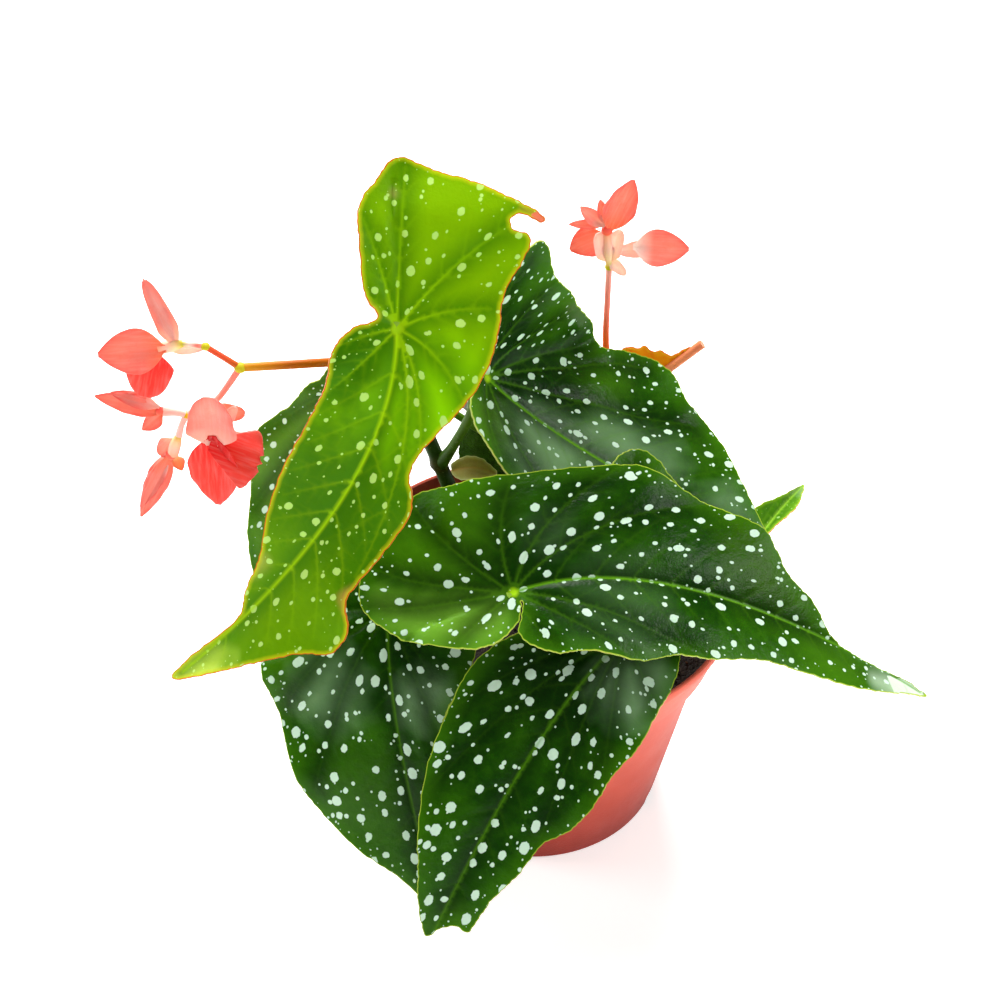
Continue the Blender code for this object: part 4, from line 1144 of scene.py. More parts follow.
def upper_finish(name, deep, fresh, painted_groove_shade, vein, rim, spot, line, sizes,
                 rough=0.2, glow=0.1, shine=0.07, joint=1.0):
    """The upper face of a leaf. Its rim is a width, a share and a colour, and its spots are a share
    and a colour. The line round its margin is a width and a colour."""
    made, tree, shader = new_finish(name)
    flat, far = flat_place(tree)
    veins, margin, puff = [kept(tree, label) for label in ("vein", "margin", "puff")]
    patch = add(tree, "ShaderNodeAttribute", attribute_name="tint").outputs
    uneven = mottled(tree, flat, 0.045)
    body = blend(tree, ramp(tree, uneven, 0.4, 0.66), deep, fresh)
    # The patches carry the mint tips and fresh lobes, and also painted shade and painted sheen.
    body = blend(tree, patch["Alpha"], body, patch["Color"])
    # Painted shade: the grooves beside the main veins, where puff is low, take the darker colour.
    body = blend(tree, times(tree, ramp(tree, puff, 0.75, 0.05), 0.7), body, painted_groove_shade)
    body = blend(tree, times(tree, ramp(tree, margin, rim[0], 0.2), rim[1]), body, rim[2])
    body = blend(tree, ramp(tree, patch["Alpha"], STRONG_PATCH, 1.0), body, patch["Color"])
    masks = all_spots(tree, flat, margin, sizes)
    body = blend(tree, times(tree, masks, spot[0]), body, spot[1])
    body = blend(tree, maths(tree, "POWER", veins, 1.4), body, vein)
    body = blend(tree, times(tree, ramp(tree, far, 1.7, 0.6), joint), body, LEAF_JOINT)
    body = blend(tree, ramp(tree, margin, line[0], line[0] / 2), body, line[1])
    grain = grained(tree, flat, 0.95, 0.8)
    swell = mottled(tree, flat, 0.1)
    plug(tree, shader, {
        "Base Color": body,
        "Roughness": plus(tree, rough, times(tree, uneven, 0.12)),
        "Normal": bumped(tree, plus(tree, swell, times(tree, grain, 0.045)), 0.35),
        "Specular IOR Level": shine,
        **glowing(glow, 0.002, (0.6, 1.0, 0.1))})
    return made


def lower_finish(name, body_colour, fresh, vein):
    """The lower face of a leaf, matt and paler, with light ribs."""
    made, tree, shader = new_finish(name)
    flat, _ = flat_place(tree)
    uneven = mottled(tree, flat, 0.06)
    body = blend(tree, ramp(tree, uneven, 0.35, 0.7), body_colour, fresh)
    faint = all_spots(tree, flat, kept(tree, "margin"), (1.3, 0.6, 0.4))
    body = blend(tree, times(tree, faint, 0.25), body, fresh)
    body = blend(tree, times(tree, kept(tree, "vein"), 0.85), body, vein)
    plug(tree, shader, {
        "Base Color": body,
        "Roughness": plus(tree, 0.5, times(tree, uneven, 0.15)),
        "Normal": bumped(tree, grained(tree, flat, 0.8, 1.0), 0.1),
        "Specular IOR Level": 0.2})
    return made


def edge_finish(name, first, second):
    """The thin cut edge of a leaf, between two colours."""
    made, tree, shader = new_finish(name)
    flat, _ = flat_place(tree)
    uneven = mottled(tree, flat, 0.12)
    plug(tree, shader, {
        "Base Color": blend(tree, ramp(tree, uneven, 0.38, 0.62), first, second),
        "Roughness": 0.45})
    return made


# Each upper finish's third colour is the painted shade laid in its vein grooves.
DARK_FINISHES = [
    upper_finish("dark leaf", tone(15, 54, 0), tone(38, 86, 0), tone(6, 34, 0), tone(98, 160, 20),
                 (5.0, 0.5, tone(62, 118, 4)), (0.94, tone(202, 230, 206)), (0.3, tone(150, 176, 50)),
                 (1.3, 0.6, 0.34)),
    lower_finish("dark leaf underside", tone(66, 88, 20), tone(100, 118, 36), tone(142, 152, 66)),
    edge_finish("dark leaf margin", tone(172, 200, 90), tone(190, 186, 84))]
INNER_FINISHES = [
    DARK_FINISHES[0],
    lower_finish("inner leaf underside", tone(46, 86, 4), tone(76, 124, 18), tone(110, 150, 50)),
    DARK_FINISHES[2]]
LIME_FINISHES = [
    upper_finish("lime leaf", tone(84, 136, 0), tone(108, 162, 0), tone(62, 116, 0), tone(172, 212, 10),
                 (1.4, 0.8, tone(204, 200, 24)), (0.85, tone(192, 226, 120)), (0.32, tone(204, 92, 26)),
                 (1.2, 0.5, 0.2), rough=0.3, glow=0.25, shine=0.04),
    lower_finish("lime leaf underside", tone(112, 146, 20), tone(146, 172, 40), tone(176, 192, 80)),
    edge_finish("lime leaf margin", tone(206, 84, 20), tone(222, 152, 40))]
TIP_FINISHES = [
    upper_finish("right leaf", tone(56, 108, 0), tone(96, 150, 8), tone(44, 92, 0), tone(136, 182, 50),
                 (1.2, 0.4, tone(130, 170, 30)), (0.6, tone(160, 200, 110)), (0.3, tone(140, 170, 40)),
                 (0.7, 0.4, 0.2), glow=0.05),
    *LIME_FINISHES[1:]]

# %% [markdown]
# ## Leaves
#
# The sheet is bent, then given a thickness of half a millimetre. The Solidify modifier puts the lower
# face and the rim on the second and third finish, so that one mesh has all three.

# %% Make the leaves
LEAF_THICKNESS = 0.5
PATCH_UNEVEN = 0.14
PATCH_END = 1.3
PATCH_FADE = 0.9


def patched(blade, flat):
    """The colour of a blade's patches at each flat point, laid one over another, and their share."""
    colours, shares = np.zeros((len(flat), 3)), np.zeros(len(flat))
    waver = np.sin(0.55 * flat[:, 0] + 2 * np.sin(0.31 * flat[:, 1])) * np.sin(0.5 * flat[:, 1] + 1)
    for x, y, radius, share, colour in blade["patches"]:
        gap = np.hypot(flat[:, 0] - x, flat[:, 1] - y) / radius + PATCH_UNEVEN * waver
        top = np.clip((PATCH_END - gap) / PATCH_FADE, 0, 1) * share
        both = top + shares * (1 - top)
        mix = (top / np.maximum(both, 1e-6))[:, None]
        colours = colours * (1 - mix) + np.array(colour) * mix
        shares = both
    return colours, shares


def make_blade(name, piece_name, finishes,
               spacing=LEAF_SPACING, thickness=LEAF_THICKNESS, rise=QUILT_RISE):
    """A leaf: its flat sheet with veins in relief, bent in space and given its thickness."""
    blade = LEAVES[name]
    reach = midrib_table(blade)[0][-1]
    outline = toothed(rounded(blade["outline"], OUTLINE_PIECES), TOOTH_DEPTH)
    lines = vein_lines(blade, outline, reach)
    flat, faces = sheet(outline, spacing, lines)
    mask, sink, nearest = vein_field(flat, lines, blade["side_glow"])
    puff = 1 - np.exp(-(nearest / QUILT_SPAN) ** 1.5)
    relief = rise * puff - VEIN_SINK * sink
    obj = new_mesh(piece_name, blade_points(blade, flat, relief), faces, *finishes)
    keep_flat(obj, flat)
    keep_value(obj, "vein", np.clip(mask * blade["ribs"], 0, 1))
    keep_value(obj, "margin", to_margin(flat, outline))
    # Where puff is low, beside the veins, the upper finish lays painted shade.
    keep_value(obj, "puff", puff * (1 - 0.5 * sink))
    for label, value in zip(("shift", "grow"), blade["spots"]):
        keep_value(obj, label, np.full(len(flat), value))
    keep_tint(obj, *patched(blade, flat))
    modify(obj, "SOLIDIFY", thickness=thickness * MM, offset=0.0,
           material_offset=1, material_offset_rim=2)
    return smooth(obj, 60)


LEAF_PIECES = {
    "leaf_lime": ("lime_leaf_blade", LIME_FINISHES, "lime_leaf"),
    "leaf_centre": ("centre_leaf_blade", DARK_FINISHES, "dark_leaf"),
    "leaf_upper_right": ("upper_right_leaf_blade", DARK_FINISHES, "dark_leaf"),
    "leaf_front": ("front_leaf_blade", DARK_FINISHES, "dark_leaf"),
    "leaf_lower_left": ("lower_left_leaf_blade", DARK_FINISHES, "dark_leaf"),
    "leaf_left_rear": ("left_rear_leaf_blade", DARK_FINISHES, "dark_leaf"),
    "leaf_under_centre": ("under_centre_leaf_blade", DARK_FINISHES, "dark_leaf"),
    "leaf_right_tip": ("right_tip_leaf_blade", TIP_FINISHES, "lime_leaf"),
    "leaf_rear": ("rear_leaf_blade", DARK_FINISHES, "dark_leaf"),
    "leaf_inner": ("inner_leaf_blade", INNER_FINISHES, "dark_leaf"),
}
for leaf, (piece_name, finishes, slot) in LEAF_PIECES.items():
    settle(make_blade(leaf, piece_name, finishes), slot, leaf)

# %% [markdown]
# ## Canes and leaf stalks
#
# A begonia's cane is jointed like bamboo: each node is a swollen ring with a brown scar, and a leaf
# stalk leaves from it. A stem is a curve with a round bevel, and each point has its own radius, so one
# curve can swell at a node. The curve is made a mesh, and each point of the mesh is tinted by the
# nearest place on the stem, brown at the scars and fresh green towards the leaves.

# %% Stems
CANES = {
    "cane_front": dict(
        stem=[(-14, 14, 46, 2.8), (-17.5, 15.5, 66, 2.7), (-21.5, 17, 86, 2.5), (-25.2, 18, 99, 2.3),
              (-28.6, 18, 110, 2.2), (-31.8, 18, 120, 2.2), (-36, 15, 136, 2.2), (-39, 9, 151, 2.1),
              (-40, 2, 162, 2.0)],
        nodes=[(-21.5, 17, 86), (-28.6, 18, 110), (-36, 15, 136)],
        petioles={
            "leaf_lime": (1.5, (-39.5, 4, 160), (-40, -5, 169)),
            "leaf_upper_right": (1.5, (-28, 17.5, 110), (-24, 14, 119), (-18.5, 9.5, 134)),
            "leaf_inner": (1.2, (-33.4, 17, 125.5), (-26.5, 19.5, 128)),
            "leaf_left_rear": (1.3, (-36, 14, 138), (-42, 12, 143)),
            "leaf_centre": (1.5, (-20, 16, 80), (-15, -8, 96), (-9, -32, 106)),
            "leaf_lower_left": (1.4, (-23.3, 17.3, 92), (-31, 2, 98), (-36.5, -19, 96),
                                (-38.5, -27, 95.5)),
        }),
    "cane_rear": dict(
        stem=[(11, 17, 46, 2.8), (13, 21, 67, 2.8), (15, 25, 88, 2.6), (19, 32, 110, 2.4),
              (22, 38, 124, 2.0)],
        nodes=[(15, 25, 88), (19, 32, 110)],
        petioles={
            "leaf_front": (1.4, (14, 23, 79), (12, -4, 89), (17, -30, 93)),
            "leaf_under_centre": (1.1, (14.5, 24, 84), (19, 0, 92), (19, -26, 103), (23, -28, 113)),
            "leaf_right_tip": (1.2, (14.5, 24, 84), (40, 16, 89), (56, 8, 86)),
            "leaf_rear": (1.3, (19, 32, 110), (10, 34, 115)),
        }),
}
STEM_GREEN = tone(42, 74, 8)
STALK_GREEN = tone(84, 124, 18)
NODE_BROWN = tone(92, 58, 30)
STEM_TOP = tone(140, 180, 50)
FLECK = tone(196, 208, 150)
NODE_SWELL = 0.7
NODE_SPAN = 1.6
SCAR_SPAN = 3.2
SCAR_SHARE = 0.75
STEM_PIECES = 8


def smooth_path(points, pieces):
    """An open smooth curve through points, each given as x, y, z and a radius."""
    points = np.array(points, float)
    ends = np.r_[[2 * points[0] - points[1]], points, [2 * points[-1] - points[-2]]]
    curve = [between(*ends[k:k + 4], s)
             for k in range(len(points) - 1) for s in np.arange(pieces) / pieces]
    return np.array(curve + [points[-1]])


def stem_finish(name, streaks, rough):
    """The skin of a stem, tinted by its mesh, with fine streaks and a soft shine."""
    made, tree, shader = new_finish(name)
    place = object_place(tree)
    tint = kept(tree, "tint", "Color")
    uneven = mottled(tree, place, 160.0)
    flecks = mottled(tree, place, 900.0)
    darker = blend(tree, 0.45, tint, (0.0, 0.0, 0.0))
    body = blend(tree, times(tree, ramp(tree, uneven, 0.4, 0.7), streaks), tint, darker)
    body = blend(tree, times(tree, ramp(tree, flecks, 0.6, 0.66), 0.12), body, FLECK)
    plug(tree, shader, {
        "Base Color": body,
        "Roughness": rough,
        "Normal": bumped(tree, grained(tree, place, 1600.0, 0.4), 0.06),
        "Specular IOR Level": 0.15,
        **glowing(0.1, 0.001, (1.0, 1.0, 0.4))})
    return made


def stem(points, colours, scars=()):
    """A round stem along points with radii, swollen at its scars, tinted evenly through colours."""
    path = smooth_path(points, STEM_PIECES)
    centres = path[:, :3]
    radii = path[:, 3].copy()
    for scar in scars:
        radii += NODE_SWELL * np.exp(-(np.linalg.norm(centres - scar, axis=1) / NODE_SPAN) ** 2)
    curve = bpy.data.curves.new("stem", "CURVE")
    curve.dimensions = "3D"
    curve.bevel_depth = MM
    curve.bevel_resolution = 6
    curve.use_fill_caps = True
    line = curve.splines.new("POLY")
    line.points.add(len(path) - 1)
    for point, centre, radius in zip(line.points, centres, radii):
        point.co = (*centre * MM, 1)
        point.radius = radius
    obj = bpy.data.objects.new("stem", curve)
    bpy.context.scene.collection.objects.link(obj)
    pick(obj)
    bpy.ops.object.convert(target="MESH")
    obj = bpy.context.object
    places = np.array([vertex.co for vertex in obj.data.vertices]) / MM
    _, along = to_line(places, centres)
    stops = np.linspace(0, 1, len(colours))
    tints = np.stack([np.interp(along, stops, channel) for channel in np.array(colours, float).T], -1)
    for scar in scars:
        brown = np.exp(-(np.linalg.norm(places - scar, axis=1) / SCAR_SPAN) ** 4)[:, None]
        tints = tints * (1 - brown * SCAR_SHARE) + np.array(NODE_BROWN) * brown * SCAR_SHARE
    keep_tint(obj, tints)
    return obj


def petiole_points(leaf, radius, path):
    """A leaf stalk's points, from its cane to the joint under its blade, where it widens."""
    _, points, _, _, upper = midrib_table(LEAVES[leaf])
    end = points[0] - upper[0] * LEAF_THICKNESS * 0.3
    below = points[0] - upper[0] * 6
    return [(*point, radius) for point in path] + [(*below, radius), (*end, radius * 1.25)]


STEM_SKIN = stem_finish("cane skin", 0.5, 0.42)


def make_cane(name, piece_name):
    """A cane with its nodes, and the leaf stalks that grow from it."""
    cane = CANES[name]
    stems = [stem(cane["stem"], [NODE_BROWN, STEM_GREEN, STEM_GREEN, STALK_GREEN], scars=cane["nodes"])]
    for leaf, (radius, *path) in cane["petioles"].items():
        points = petiole_points(leaf, radius, path)
        points[0] = (*points[0][:3], radius * 1.5)
        stems.append(stem(points, [STEM_GREEN, STALK_GREEN, STEM_TOP]))
    finished(piece_name, stems, STEM_SKIN, 50, "cane_green", name)


make_cane("cane_front", "front_cane")
make_cane("cane_rear", "rear_cane")

# %% [markdown]
# ## Flower stalks
#
# The left stalk is orange brown and turns coral towards the blooms. It forks twice, at yellow-green
# joints. The right one stands upright, and fades from orange to pink.

# %% Flower stalks
CORAL_STALK = tone(246, 120, 100)
RED_STALK = tone(234, 84, 44)
ORANGE_STALK = tone(196, 98, 6)
PINK_STALK = tone(252, 176, 160)
PALE_STALK = tone(255, 214, 202)
JOINT_GREEN = tone(206, 190, 30)
STALK_SKIN = stem_finish("flower stalk skin", 0.12, 0.4)


def bead(place, radius):
    """A small swollen green joint where stalks meet."""
    bpy.ops.mesh.primitive_uv_sphere_add(segments=16, ring_count=10, radius=radius * MM,
                                         location=Vector(place) * MM)
    obj = bpy.context.object
    obj.scale = (1.0, 1.0, 0.85)
    bpy.ops.object.transform_apply()
    keep_tint(obj, [JOINT_GREEN] * len(obj.data.vertices))
    return obj


def make_left_stalk():
    """The branched stalk of the left cluster."""
    fork, joint, second = (-76, -19, 168), (-84, -19, 174.3), (-92, -17, 152)
    pieces = [
        stem([(-42.3, 1.5, 160.5, 1.25), (-48.5, -7, 162.5, 1.2), (-60, -16, 167.2, 1.15),
              (*fork, 1.1)],
             [tone(150, 140, 30), ORANGE_STALK, ORANGE_STALK, ORANGE_STALK, tone(220, 150, 20)]),
        stem([(*fork, 0.9), (-80, -19, 171.2, 0.8), (*joint, 0.8)],
             [ORANGE_STALK, RED_STALK, RED_STALK]),
        stem([(*joint, 0.7), (-87, -19, 174.8, 0.55), (-89.8, -19.1, 175.2, 0.6)],
             [PINK_STALK, CORAL_STALK, PALE_STALK, JOINT_GREEN]),
        stem([(*fork, 0.9), (-82.5, -17, 158, 0.8), (-86.2, -16, 154.3, 0.8), (*second, 0.9)],
             [CORAL_STALK, PINK_STALK, PINK_STALK, PINK_STALK]),
        stem([(*second, 0.9), (-94.4, -17.9, 153.4, 1.0), (-97.6, -18.8, 154.3, 1.3)],
             [PALE_STALK, PALE_STALK, PINK_STALK]),
        stem([(*second, 0.9), (-93.4, -18.2, 149.5, 0.8), (-94.4, -19, 146.6, 1.0)],
             [PALE_STALK, PALE_STALK]),
        bead(fork, 1.6), bead(joint, 1.2), bead(second, 1.2)]
    finished("left_flower_stalk", pieces, STALK_SKIN, 60, "flower_stalk", "flower_stalk_left")


def make_right_stalk():
    """The upright stalk of the right cluster."""
    top = (21, 45, 160.2)
    pieces = [stem([(22.2, 38.5, 124.2, 1.25), (21, 43, 136, 1.0), (21, 45, 148, 0.9), (*top, 0.95)],
                   [tone(236, 100, 4), tone(242, 104, 10), tone(246, 104, 40), tone(250, 128, 104),
                    tone(252, 146, 128), PINK_STALK]),
              bead(top, 1.3)]
    finished("right_flower_stalk", pieces, STALK_SKIN, 60, "flower_stalk", "flower_stalk_right")


make_left_stalk()
make_right_stalk()

# %% [markdown]
# ## Blooms
#
# A tepal is a petal-like blade, hollow like a spoon. Most are narrow at the root and pointed at the
# tip, some end blunt, and the open bloom has one that spreads like a ruffled fan. Each starts as a
# grid, whose points are laid in the petal's outline and bent by the same formula as the leaves. The
# flesh is watery and lets light through: fine ribs run along it, and its colours are kept on the mesh,
# one for the root, one for the middle and one for the rim.
# The flesh also gives off a faint painted glow of its own colour.

# %% Tepals
TEPAL_THICKNESS = 0.35
TEPAL_ROWS = 26
TEPAL_COLUMNS = 16
TEPAL_HOLLOW = 0.8
RUFFLE_LENGTH = 5.2
FAN_FOLD = 0.6
FAN_LOBES = 0.1
WING_THICKNESS = 0.3
WING_HOLLOW = 0.3
CORE_RINGS = ((-0.8, 0.35), (-0.3, 0.85), (0.3, 0.85), (0.8, 0.35))
PALE_FLESH = tone(255, 226, 214)
DEEP_FLESH = tone(236, 50, 46)
OVARY_COLOURS = [JOINT_GREEN, tone(255, 210, 160), tone(255, 190, 166), tone(255, 170, 130)]
TINTS = {
    "coral": (tone(250, 110, 70), tone(252, 128, 110), tone(240, 80, 72)),
    "red": (tone(222, 10, 8), tone(250, 54, 46), tone(250, 86, 78)),
    "side": (tone(255, 222, 210), tone(252, 136, 120), tone(238, 82, 74)),
    "salmon": (tone(255, 176, 156), tone(254, 142, 128), tone(240, 86, 78)),
    "pale": (tone(255, 190, 170), tone(253, 152, 138), tone(244, 104, 94)),
    "white": (tone(255, 196, 156), tone(255, 202, 188), tone(255, 170, 158)),
    "orange": (tone(255, 190, 120), tone(253, 150, 90), tone(251, 104, 84)),
}
BLOOMS = {
    "bloom_upper_left": dict(
        core=(-97.3, -19.2, 172.6, 1.3),
        tepals=[((-93.5, -20.4, 174.6), (-110.4, -21.6, 173.6), 12.0, (-0.1, -0.9, 0.5),
                 "pointed", "coral"),
                ((-97.4, -19, 173), (-100.4, -21.8, 161), 13.4, (0.0, -0.95, 0.1), "blunt", "red"),
                ((-97.5, -18.8, 173), (-103, -14, 171), 7.0, (0.3, 0.7, 0.6), "pointed", "salmon")]),
    "bloom_lower_left": dict(
        core=(-83, -20.2, 146.5, 1.5),
        tepals=[((-84.8, -21.5, 145.5), (-84.3, -22, 161), 14.8, (-0.1, -0.9, 0.45), "blunt", "pale"),
                ((-85, -21.4, 148.5), (-85.6, -23.6, 127.4), 14.6, (-0.15, -0.9, 0.25),
                 "pointed", "red"),
                ((-86, -22, 146), (-72.2, -24, 141.4), 17.5, (0.3, -0.9, 0.35), "fan", "red"),
                ((-82, -20, 147), (-75, -13, 144), 8.0, (0.2, 0.7, 0.6), "pointed", "coral"),
                ((-81.5, -20, 151.5), (-78.2, -20.5, 157), 3.4, (0.1, -0.9, 0.3), "blunt", "white")]),
    "bud_outer": dict(
        core=(-98.0, -19.0, 154.6, 1.4),
        tepals=[((-96.6, -19.2, 154.4), (-113.8, -20, 160), 5.8, (0.0, -0.9, 0.4), "pointed", "coral"),
                ((-98, -19.2, 156), (-110, -19, 160.4), 4.4, (0.0, -0.9, 0.4), "pointed", "salmon"),
                ((-97.5, -19.6, 154), (-103, -21, 150), 4.6, (0.0, -0.9, 0.4), "pointed", "coral")]),
    "bud_lower": dict(
        core=(-97.0, -19.5, 141, 1.7),
        tepals=[((-96.8, -19.8, 141.5), (-107.6, -21, 121.2), 6.2, (0.2, -0.9, 0.3),
                 "pointed", "coral"),
                ((-98, -18.9, 141), (-107.4, -20.4, 124), 5.4, (-0.3, -0.9, 0.4), "pointed", "side"),
                ((-96, -19.5, 140.5), (-94.6, -20.6, 136.5), 3.6, (0.2, -0.9, 0.3),
                 "pointed", "orange")]),
    "bloom_right": dict(
        core=(19.8, 44.5, 172.2, 1.8),
        tepals=[((20.4, 44, 172.4), (26.2, 42, 189.2), 9.8, (0.2, -0.9, 0.3), "pointed", "coral"),
                ((19, 44.5, 174), (8.8, 43, 175), 3.0, (0.0, -0.9, 0.3), "pointed", "coral"),
                ((19, 44.3, 173.5), (12, 43, 180.4), 4.4, (0.1, -0.9, 0.3), "pointed", "pale"),
                ((19.4, 44.4, 174), (17.4, 43.4, 182.4), 3.4, (0.1, -0.9, 0.3), "pointed", "pale"),
                ((19.4, 46.4, 170), (9.7, 48, 164), 9.6, (-0.1, -0.95, 0.2), "pointed", "coral")]),
    "bloom_right_side": dict(
        core=(31.5, 45.2, 166.8, 1.2),
        tepals=[((27.4, 43.8, 167.4), (43.2, 42, 167.6), 11.0, (0.0, -0.9, 0.45), "pointed", "side"),
                ((31, 45.6, 166.5), (39, 51, 163), 7.0, (0.3, 0.7, 0.6), "pointed", "salmon"),
                ((32.6, 44.2, 166.8), (23.4, 44.6, 165.4), 5.6, (0.0, -0.9, 0.3), "blunt", "white")]),
}
OVARIES = {
    "ovary_upper_left": dict(
        body=[(-89.6, -19, 175.2, 0.9), (-92.3, -19.2, 174.6, 1.5), (-95.5, -19.4, 173.8, 1.5)],
        wings=[((-91.2, -19, 174.8), (-96.7, -18.3, 192.8), 5.6, (0.3, -0.9, 0.2), "blunt", "salmon"),
               ((-91.6, -18.8, 176), (-96.9, -18.0, 193), 3.6, (0.3, -0.9, 0.2), "pointed", "pale"),
               ((-93, -19, 173.2), (-84.6, -18.6, 173.2), 2.6, (0.1, -0.9, 0.3), "pointed", "white")]),
    "ovary_lower_left": dict(
        body=[(-86.6, -17.4, 155.6, 0.8), (-85.2, -18.3, 153.2, 1.6), (-84, -19.6, 149.4, 1.6)],
        wings=[((-85.6, -19, 153), (-90.6, -20.4, 147.4), 4.6, (-0.4, -0.9, 0.2), "blunt", "pale"),
               ((-84.5, -18, 153.5), (-76.8, -16.5, 152), 5.8, (0.3, -0.9, 0.3), "blunt", "pale")]),
    "ovary_lower": dict(
        body=[(-94.2, -19, 147, 0.7), (-95.4, -19.2, 144.4, 1.5), (-96.6, -19.5, 141, 1.5)],
        wings=[((-95.6, -19, 145.6), (-100.2, -18.6, 140), 6.4, (0.0, -0.9, 0.2), "blunt", "salmon")]),
    "ovary_right": dict(
        body=[(21, 45, 160.2, 0.9), (20.5, 44.9, 165, 1.3), (19.9, 44.6, 171, 1.1)],
        wings=[((20.4, 44.6, 162.5), (23.6, 44.2, 172.6), 6.2, (0.0, -0.9, 0.4), "blunt", "white"),
               ((20.6, 44.6, 162.5), (17.2, 44.2, 171.6), 6.2, (0.1, -0.9, 0.4), "blunt", "white"),
               ((21.2, 44.6, 162.5), (25.8, 43.5, 158.4), 3.8, (0.0, -0.9, 0.3), "blunt", "white")]),
}


def flesh_finish(name, glow, rough):
    """Watery petal flesh, tinted by its mesh, with fine ribs, a sparkle of cells and light within,
    and a faint painted glow of its own colour.
    """
    made, tree, shader = new_finish(name)
    flat, _ = flat_place(tree)
    tint = kept(tree, "tint", "Color")
    long = sums(tree, "MULTIPLY", flat, (0.1, 0.9, 1.0))
    ribs = clouds(tree, long, 1.3, 3.0)
    uneven = mottled(tree, flat, 0.25)
    paler = blend(tree, 0.4, tint, PALE_FLESH)
    body = blend(tree, times(tree, ramp(tree, ribs, 0.45, 0.75), 0.3), tint, paler)
    body = blend(tree, times(tree, ramp(tree, uneven, 0.5, 0.3), 0.2), body, DEEP_FLESH)
    cells = grained(tree, flat, 5.5, 0.9)
    plug(tree, shader, {
        "Base Color": body,
        "Roughness": rough,
        "Normal": bumped(tree, plus(tree, ribs, times(tree, cells, 0.35)), 0.1),
        "Specular IOR Level": 0.2,
        # Painted glow: the flesh gives off a little of its own colour, which lightens its shaded parts.
        "Emission Color": body,
        "Emission Strength": 0.1,
        **glowing(glow, 0.003, (1.0, 0.4, 0.3))})
    return made


FLESH = flesh_finish("petal flesh", 0.3, 0.42)
WING_FLESH = flesh_finish("ovary flesh", 0.45, 0.38)


def petal_form(root, tip, face, hollow):
    """The blade that a petal is bent along, from its root to its tip."""
    root, tip, face = [np.array(values, float) for values in (root, tip, face)]
    bow = unit(face) * -hollow
    return {**PLAIN_BLADE, "midrib": [root, (root + tip) / 2 + bow, tip], "faces": [face] * 3,
            "left_fold": (12, 12, 8), "right_fold": (12, 12, 8),
            "left_curl": (90, 90, 60), "right_curl": (90, 90, 60), "wave": (0.0, 10, 0.0)}


def petal_share(t, shape):
    """A petal's width at t along it, as a share of its widest."""
    if shape == "blunt":
        return np.clip(t / 0.25, 0, 1) ** 0.6 * (1 - 0.5 * t ** 2) * np.sqrt(1 - t ** 12)
    if shape == "fan":
        return (0.12 + 0.88 * np.clip(t / 0.8, 0, 1) ** 0.8) * np.sqrt(1 - t ** 12)
    return np.sin(np.pi * t ** 0.8) ** np.where(t < 0.42, 1.1, 0.7)


def make_tepal(root, tip, width, face, shape, tints, hollow=TEPAL_HOLLOW, ruffle=0.35,
               thickness=TEPAL_THICKNESS):
    """One petal-like blade, tinted from its root through its middle to its rim."""
    form = petal_form(root, tip, face, hollow)
    bpy.ops.mesh.primitive_grid_add(x_subdivisions=TEPAL_ROWS, y_subdivisions=TEPAL_COLUMNS, size=2)
    obj = bpy.context.object
    square = np.array([vertex.co[:2] for vertex in obj.data.vertices])
    t, across = (square[:, 0] + 1) / 2, square[:, 1]
    reach = midrib_table(form)[0][-1]
    fan = FAN_FOLD if shape == "fan" else 0.0
    notch = 1 - (FAN_LOBES * np.abs(np.sin(1.5 * np.pi * across)) * t ** 3 if fan else 0.0)
    half = width / 2 * petal_share(np.clip(t, 0.03, 0.985), shape)
    flat = np.c_[reach * t * notch, across * half]
    rim = np.abs(across) ** 2
    phase = 2 * np.pi * t * reach / RUFFLE_LENGTH + 1.3 * np.sign(across)
    wave = ruffle * rim * np.sin(phase) * np.sin(np.pi * t)
    wave = wave + fan * t ** 2 * np.cos(3 * np.pi * across) + 0.05 * np.cos(across * 14) * (1 - t)
    for vertex, point in zip(obj.data.vertices, blade_points(form, flat, wave)):
        vertex.co = Vector(point) * MM
    obj.data.uv_layers.remove(obj.data.uv_layers[0])
    keep_flat(obj, flat)
    root_tint, middle_tint, rim_tint = [np.array(tint) for tint in TINTS[tints]]
    from_root = np.clip(1.1 - t * (1.9 if tints == "red" else 3.0), 0, 1)[:, None]
    to_rim = (np.clip(rim, 0, 1) * 0.75 + np.clip(t - 0.72, 0, 1) * 1.6).clip(0, 1)[:, None]
    colours = middle_tint * (1 - to_rim) + rim_tint * to_rim
    keep_tint(obj, colours * (1 - from_root) + root_tint * from_root)
    modify(obj, "SOLIDIFY", thickness=thickness * MM, offset=0.0)
    return obj


def flesh_stem(points, colours):
    """A stem that can wear petal flesh."""
    obj = stem(points, colours)
    keep_flat(obj, np.zeros((len(obj.data.vertices), 2)))
    return obj


def make_bloom(name, bloom):
    """A bloom: its tepals, laid round a small core."""
    x, y, z, radius = bloom["core"]
    core = flesh_stem([(x, y, z + radius * rise, radius * share) for rise, share in CORE_RINGS],
                      [TINTS["coral"][0], TINTS["coral"][2]])
    tepals = [make_tepal(*tepal) for tepal in bloom["tepals"]]
    finished("coral_" + name, [core, *tepals], FLESH, 60, "coral_tepal", name)


def make_ovary(name, ovary):
    """A winged ovary: a green and pink body with thin pale wings."""
    body = flesh_stem(ovary["body"], OVARY_COLOURS)
    wings = [make_tepal(*wing, hollow=WING_HOLLOW, ruffle=0.25, thickness=WING_THICKNESS)
             for wing in ovary["wings"]]
    finished("winged_" + name, [body, *wings], WING_FLESH, 60, "pale_pink", name)


for name, bloom in BLOOMS.items():
    make_bloom(name, bloom)
for name, ovary in OVARIES.items():
    make_ovary(name, ovary)

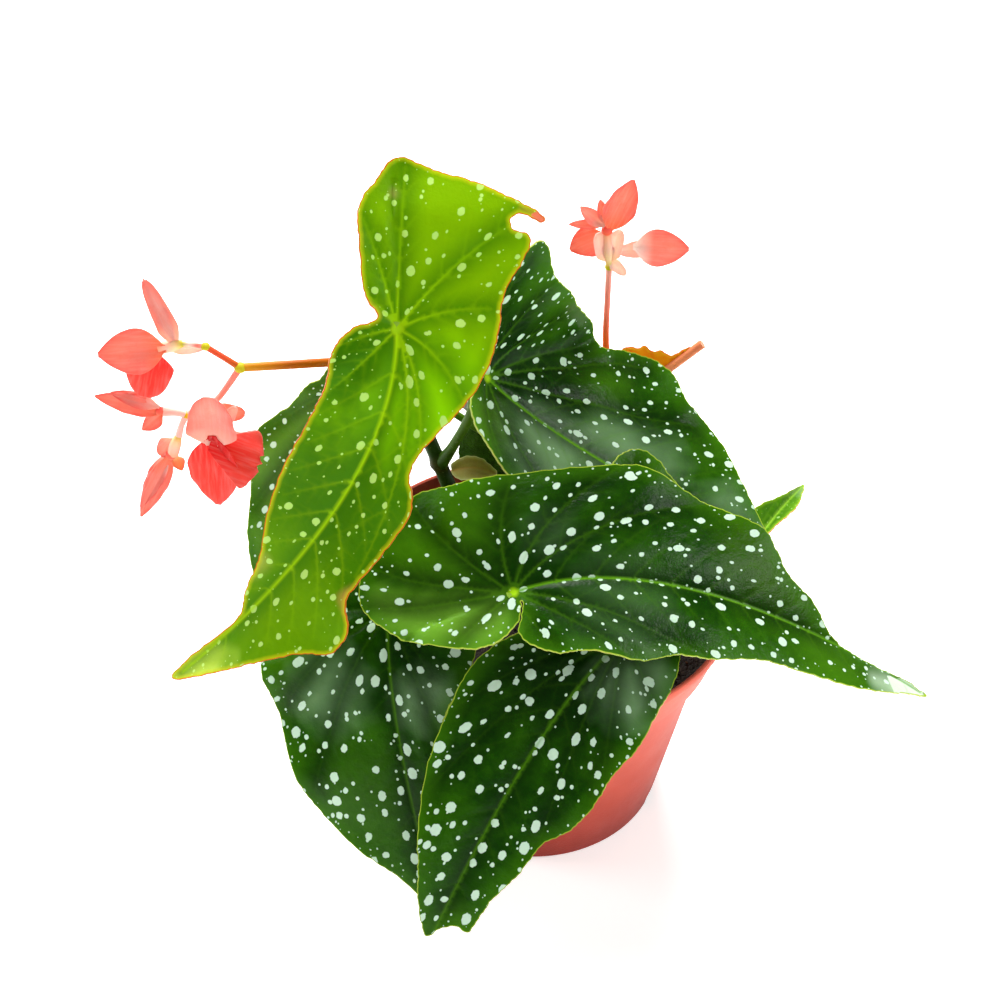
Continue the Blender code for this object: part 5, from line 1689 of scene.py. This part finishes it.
# %% [markdown]
# ## Young leaf and stipule
#
# The youngest leaf is still orange and crumpled, on a short peach stalk. A stipule is the dry sheath
# that once wrapped such a leaf: it stays by its node, thin and papery.

# %% Young leaf and stipule
ORANGE_FINISHES = [
    upper_finish("young leaf",
                 tone(238, 130, 8), tone(252, 166, 24), tone(226, 110, 10), tone(240, 110, 30),
                 (1.0, 0.5, tone(250, 180, 50)), (0.2, tone(252, 190, 90)), (0.3, tone(236, 100, 40)),
                 (0.3, 0.2, 0.12), rough=0.4, glow=0.2, joint=0.0),
    lower_finish("young leaf underside", tone(206, 96, 24), tone(224, 124, 40), tone(230, 110, 50)),
    edge_finish("young leaf margin", tone(226, 84, 40), tone(236, 130, 60))]
SHEATH_FINISHES = [
    upper_finish("stipule",
                 tone(150, 150, 70), tone(182, 190, 116), tone(130, 104, 50), tone(150, 120, 60),
                 (1.0, 0.5, tone(176, 176, 110)), (0.2, tone(190, 190, 130)),
                 (0.3, tone(186, 186, 130)), (0.2, 0.15, 0.1), rough=0.55, joint=0.0),
    lower_finish("stipule underside", tone(110, 80, 30), tone(140, 110, 50), tone(120, 90, 40)),
    edge_finish("stipule edge", tone(150, 140, 90), tone(120, 80, 44))]


def make_young_leaf():
    """The crumpled orange leaf with its stub of stalk."""
    blade = make_blade("young_leaf", "young blade", ORANGE_FINISHES,
                       spacing=0.5, thickness=0.35, rise=0.3)
    stub = dressed(stem(
        [(22.8, 40.2, 121, 0.9), (31, 42, 121.6, 1.1), (37, 41, 125, 1.3), (49.5, 41, 136.5, 1.4)],
        [tone(150, 130, 40), tone(238, 126, 44), tone(246, 154, 100), tone(240, 138, 92)]), STALK_SKIN)
    settle(joined("young_orange_leaf", [blade, stub]), "young_leaf_orange", "young_leaf")


def make_stipule():
    """The dry sheath by its node."""
    sheath = make_blade("stipule", "dry_stipule", SHEATH_FINISHES,
                        spacing=0.4, thickness=0.3, rise=0.2)
    settle(sheath, "dry_stipule", "stipule")


make_young_leaf()
make_stipule()
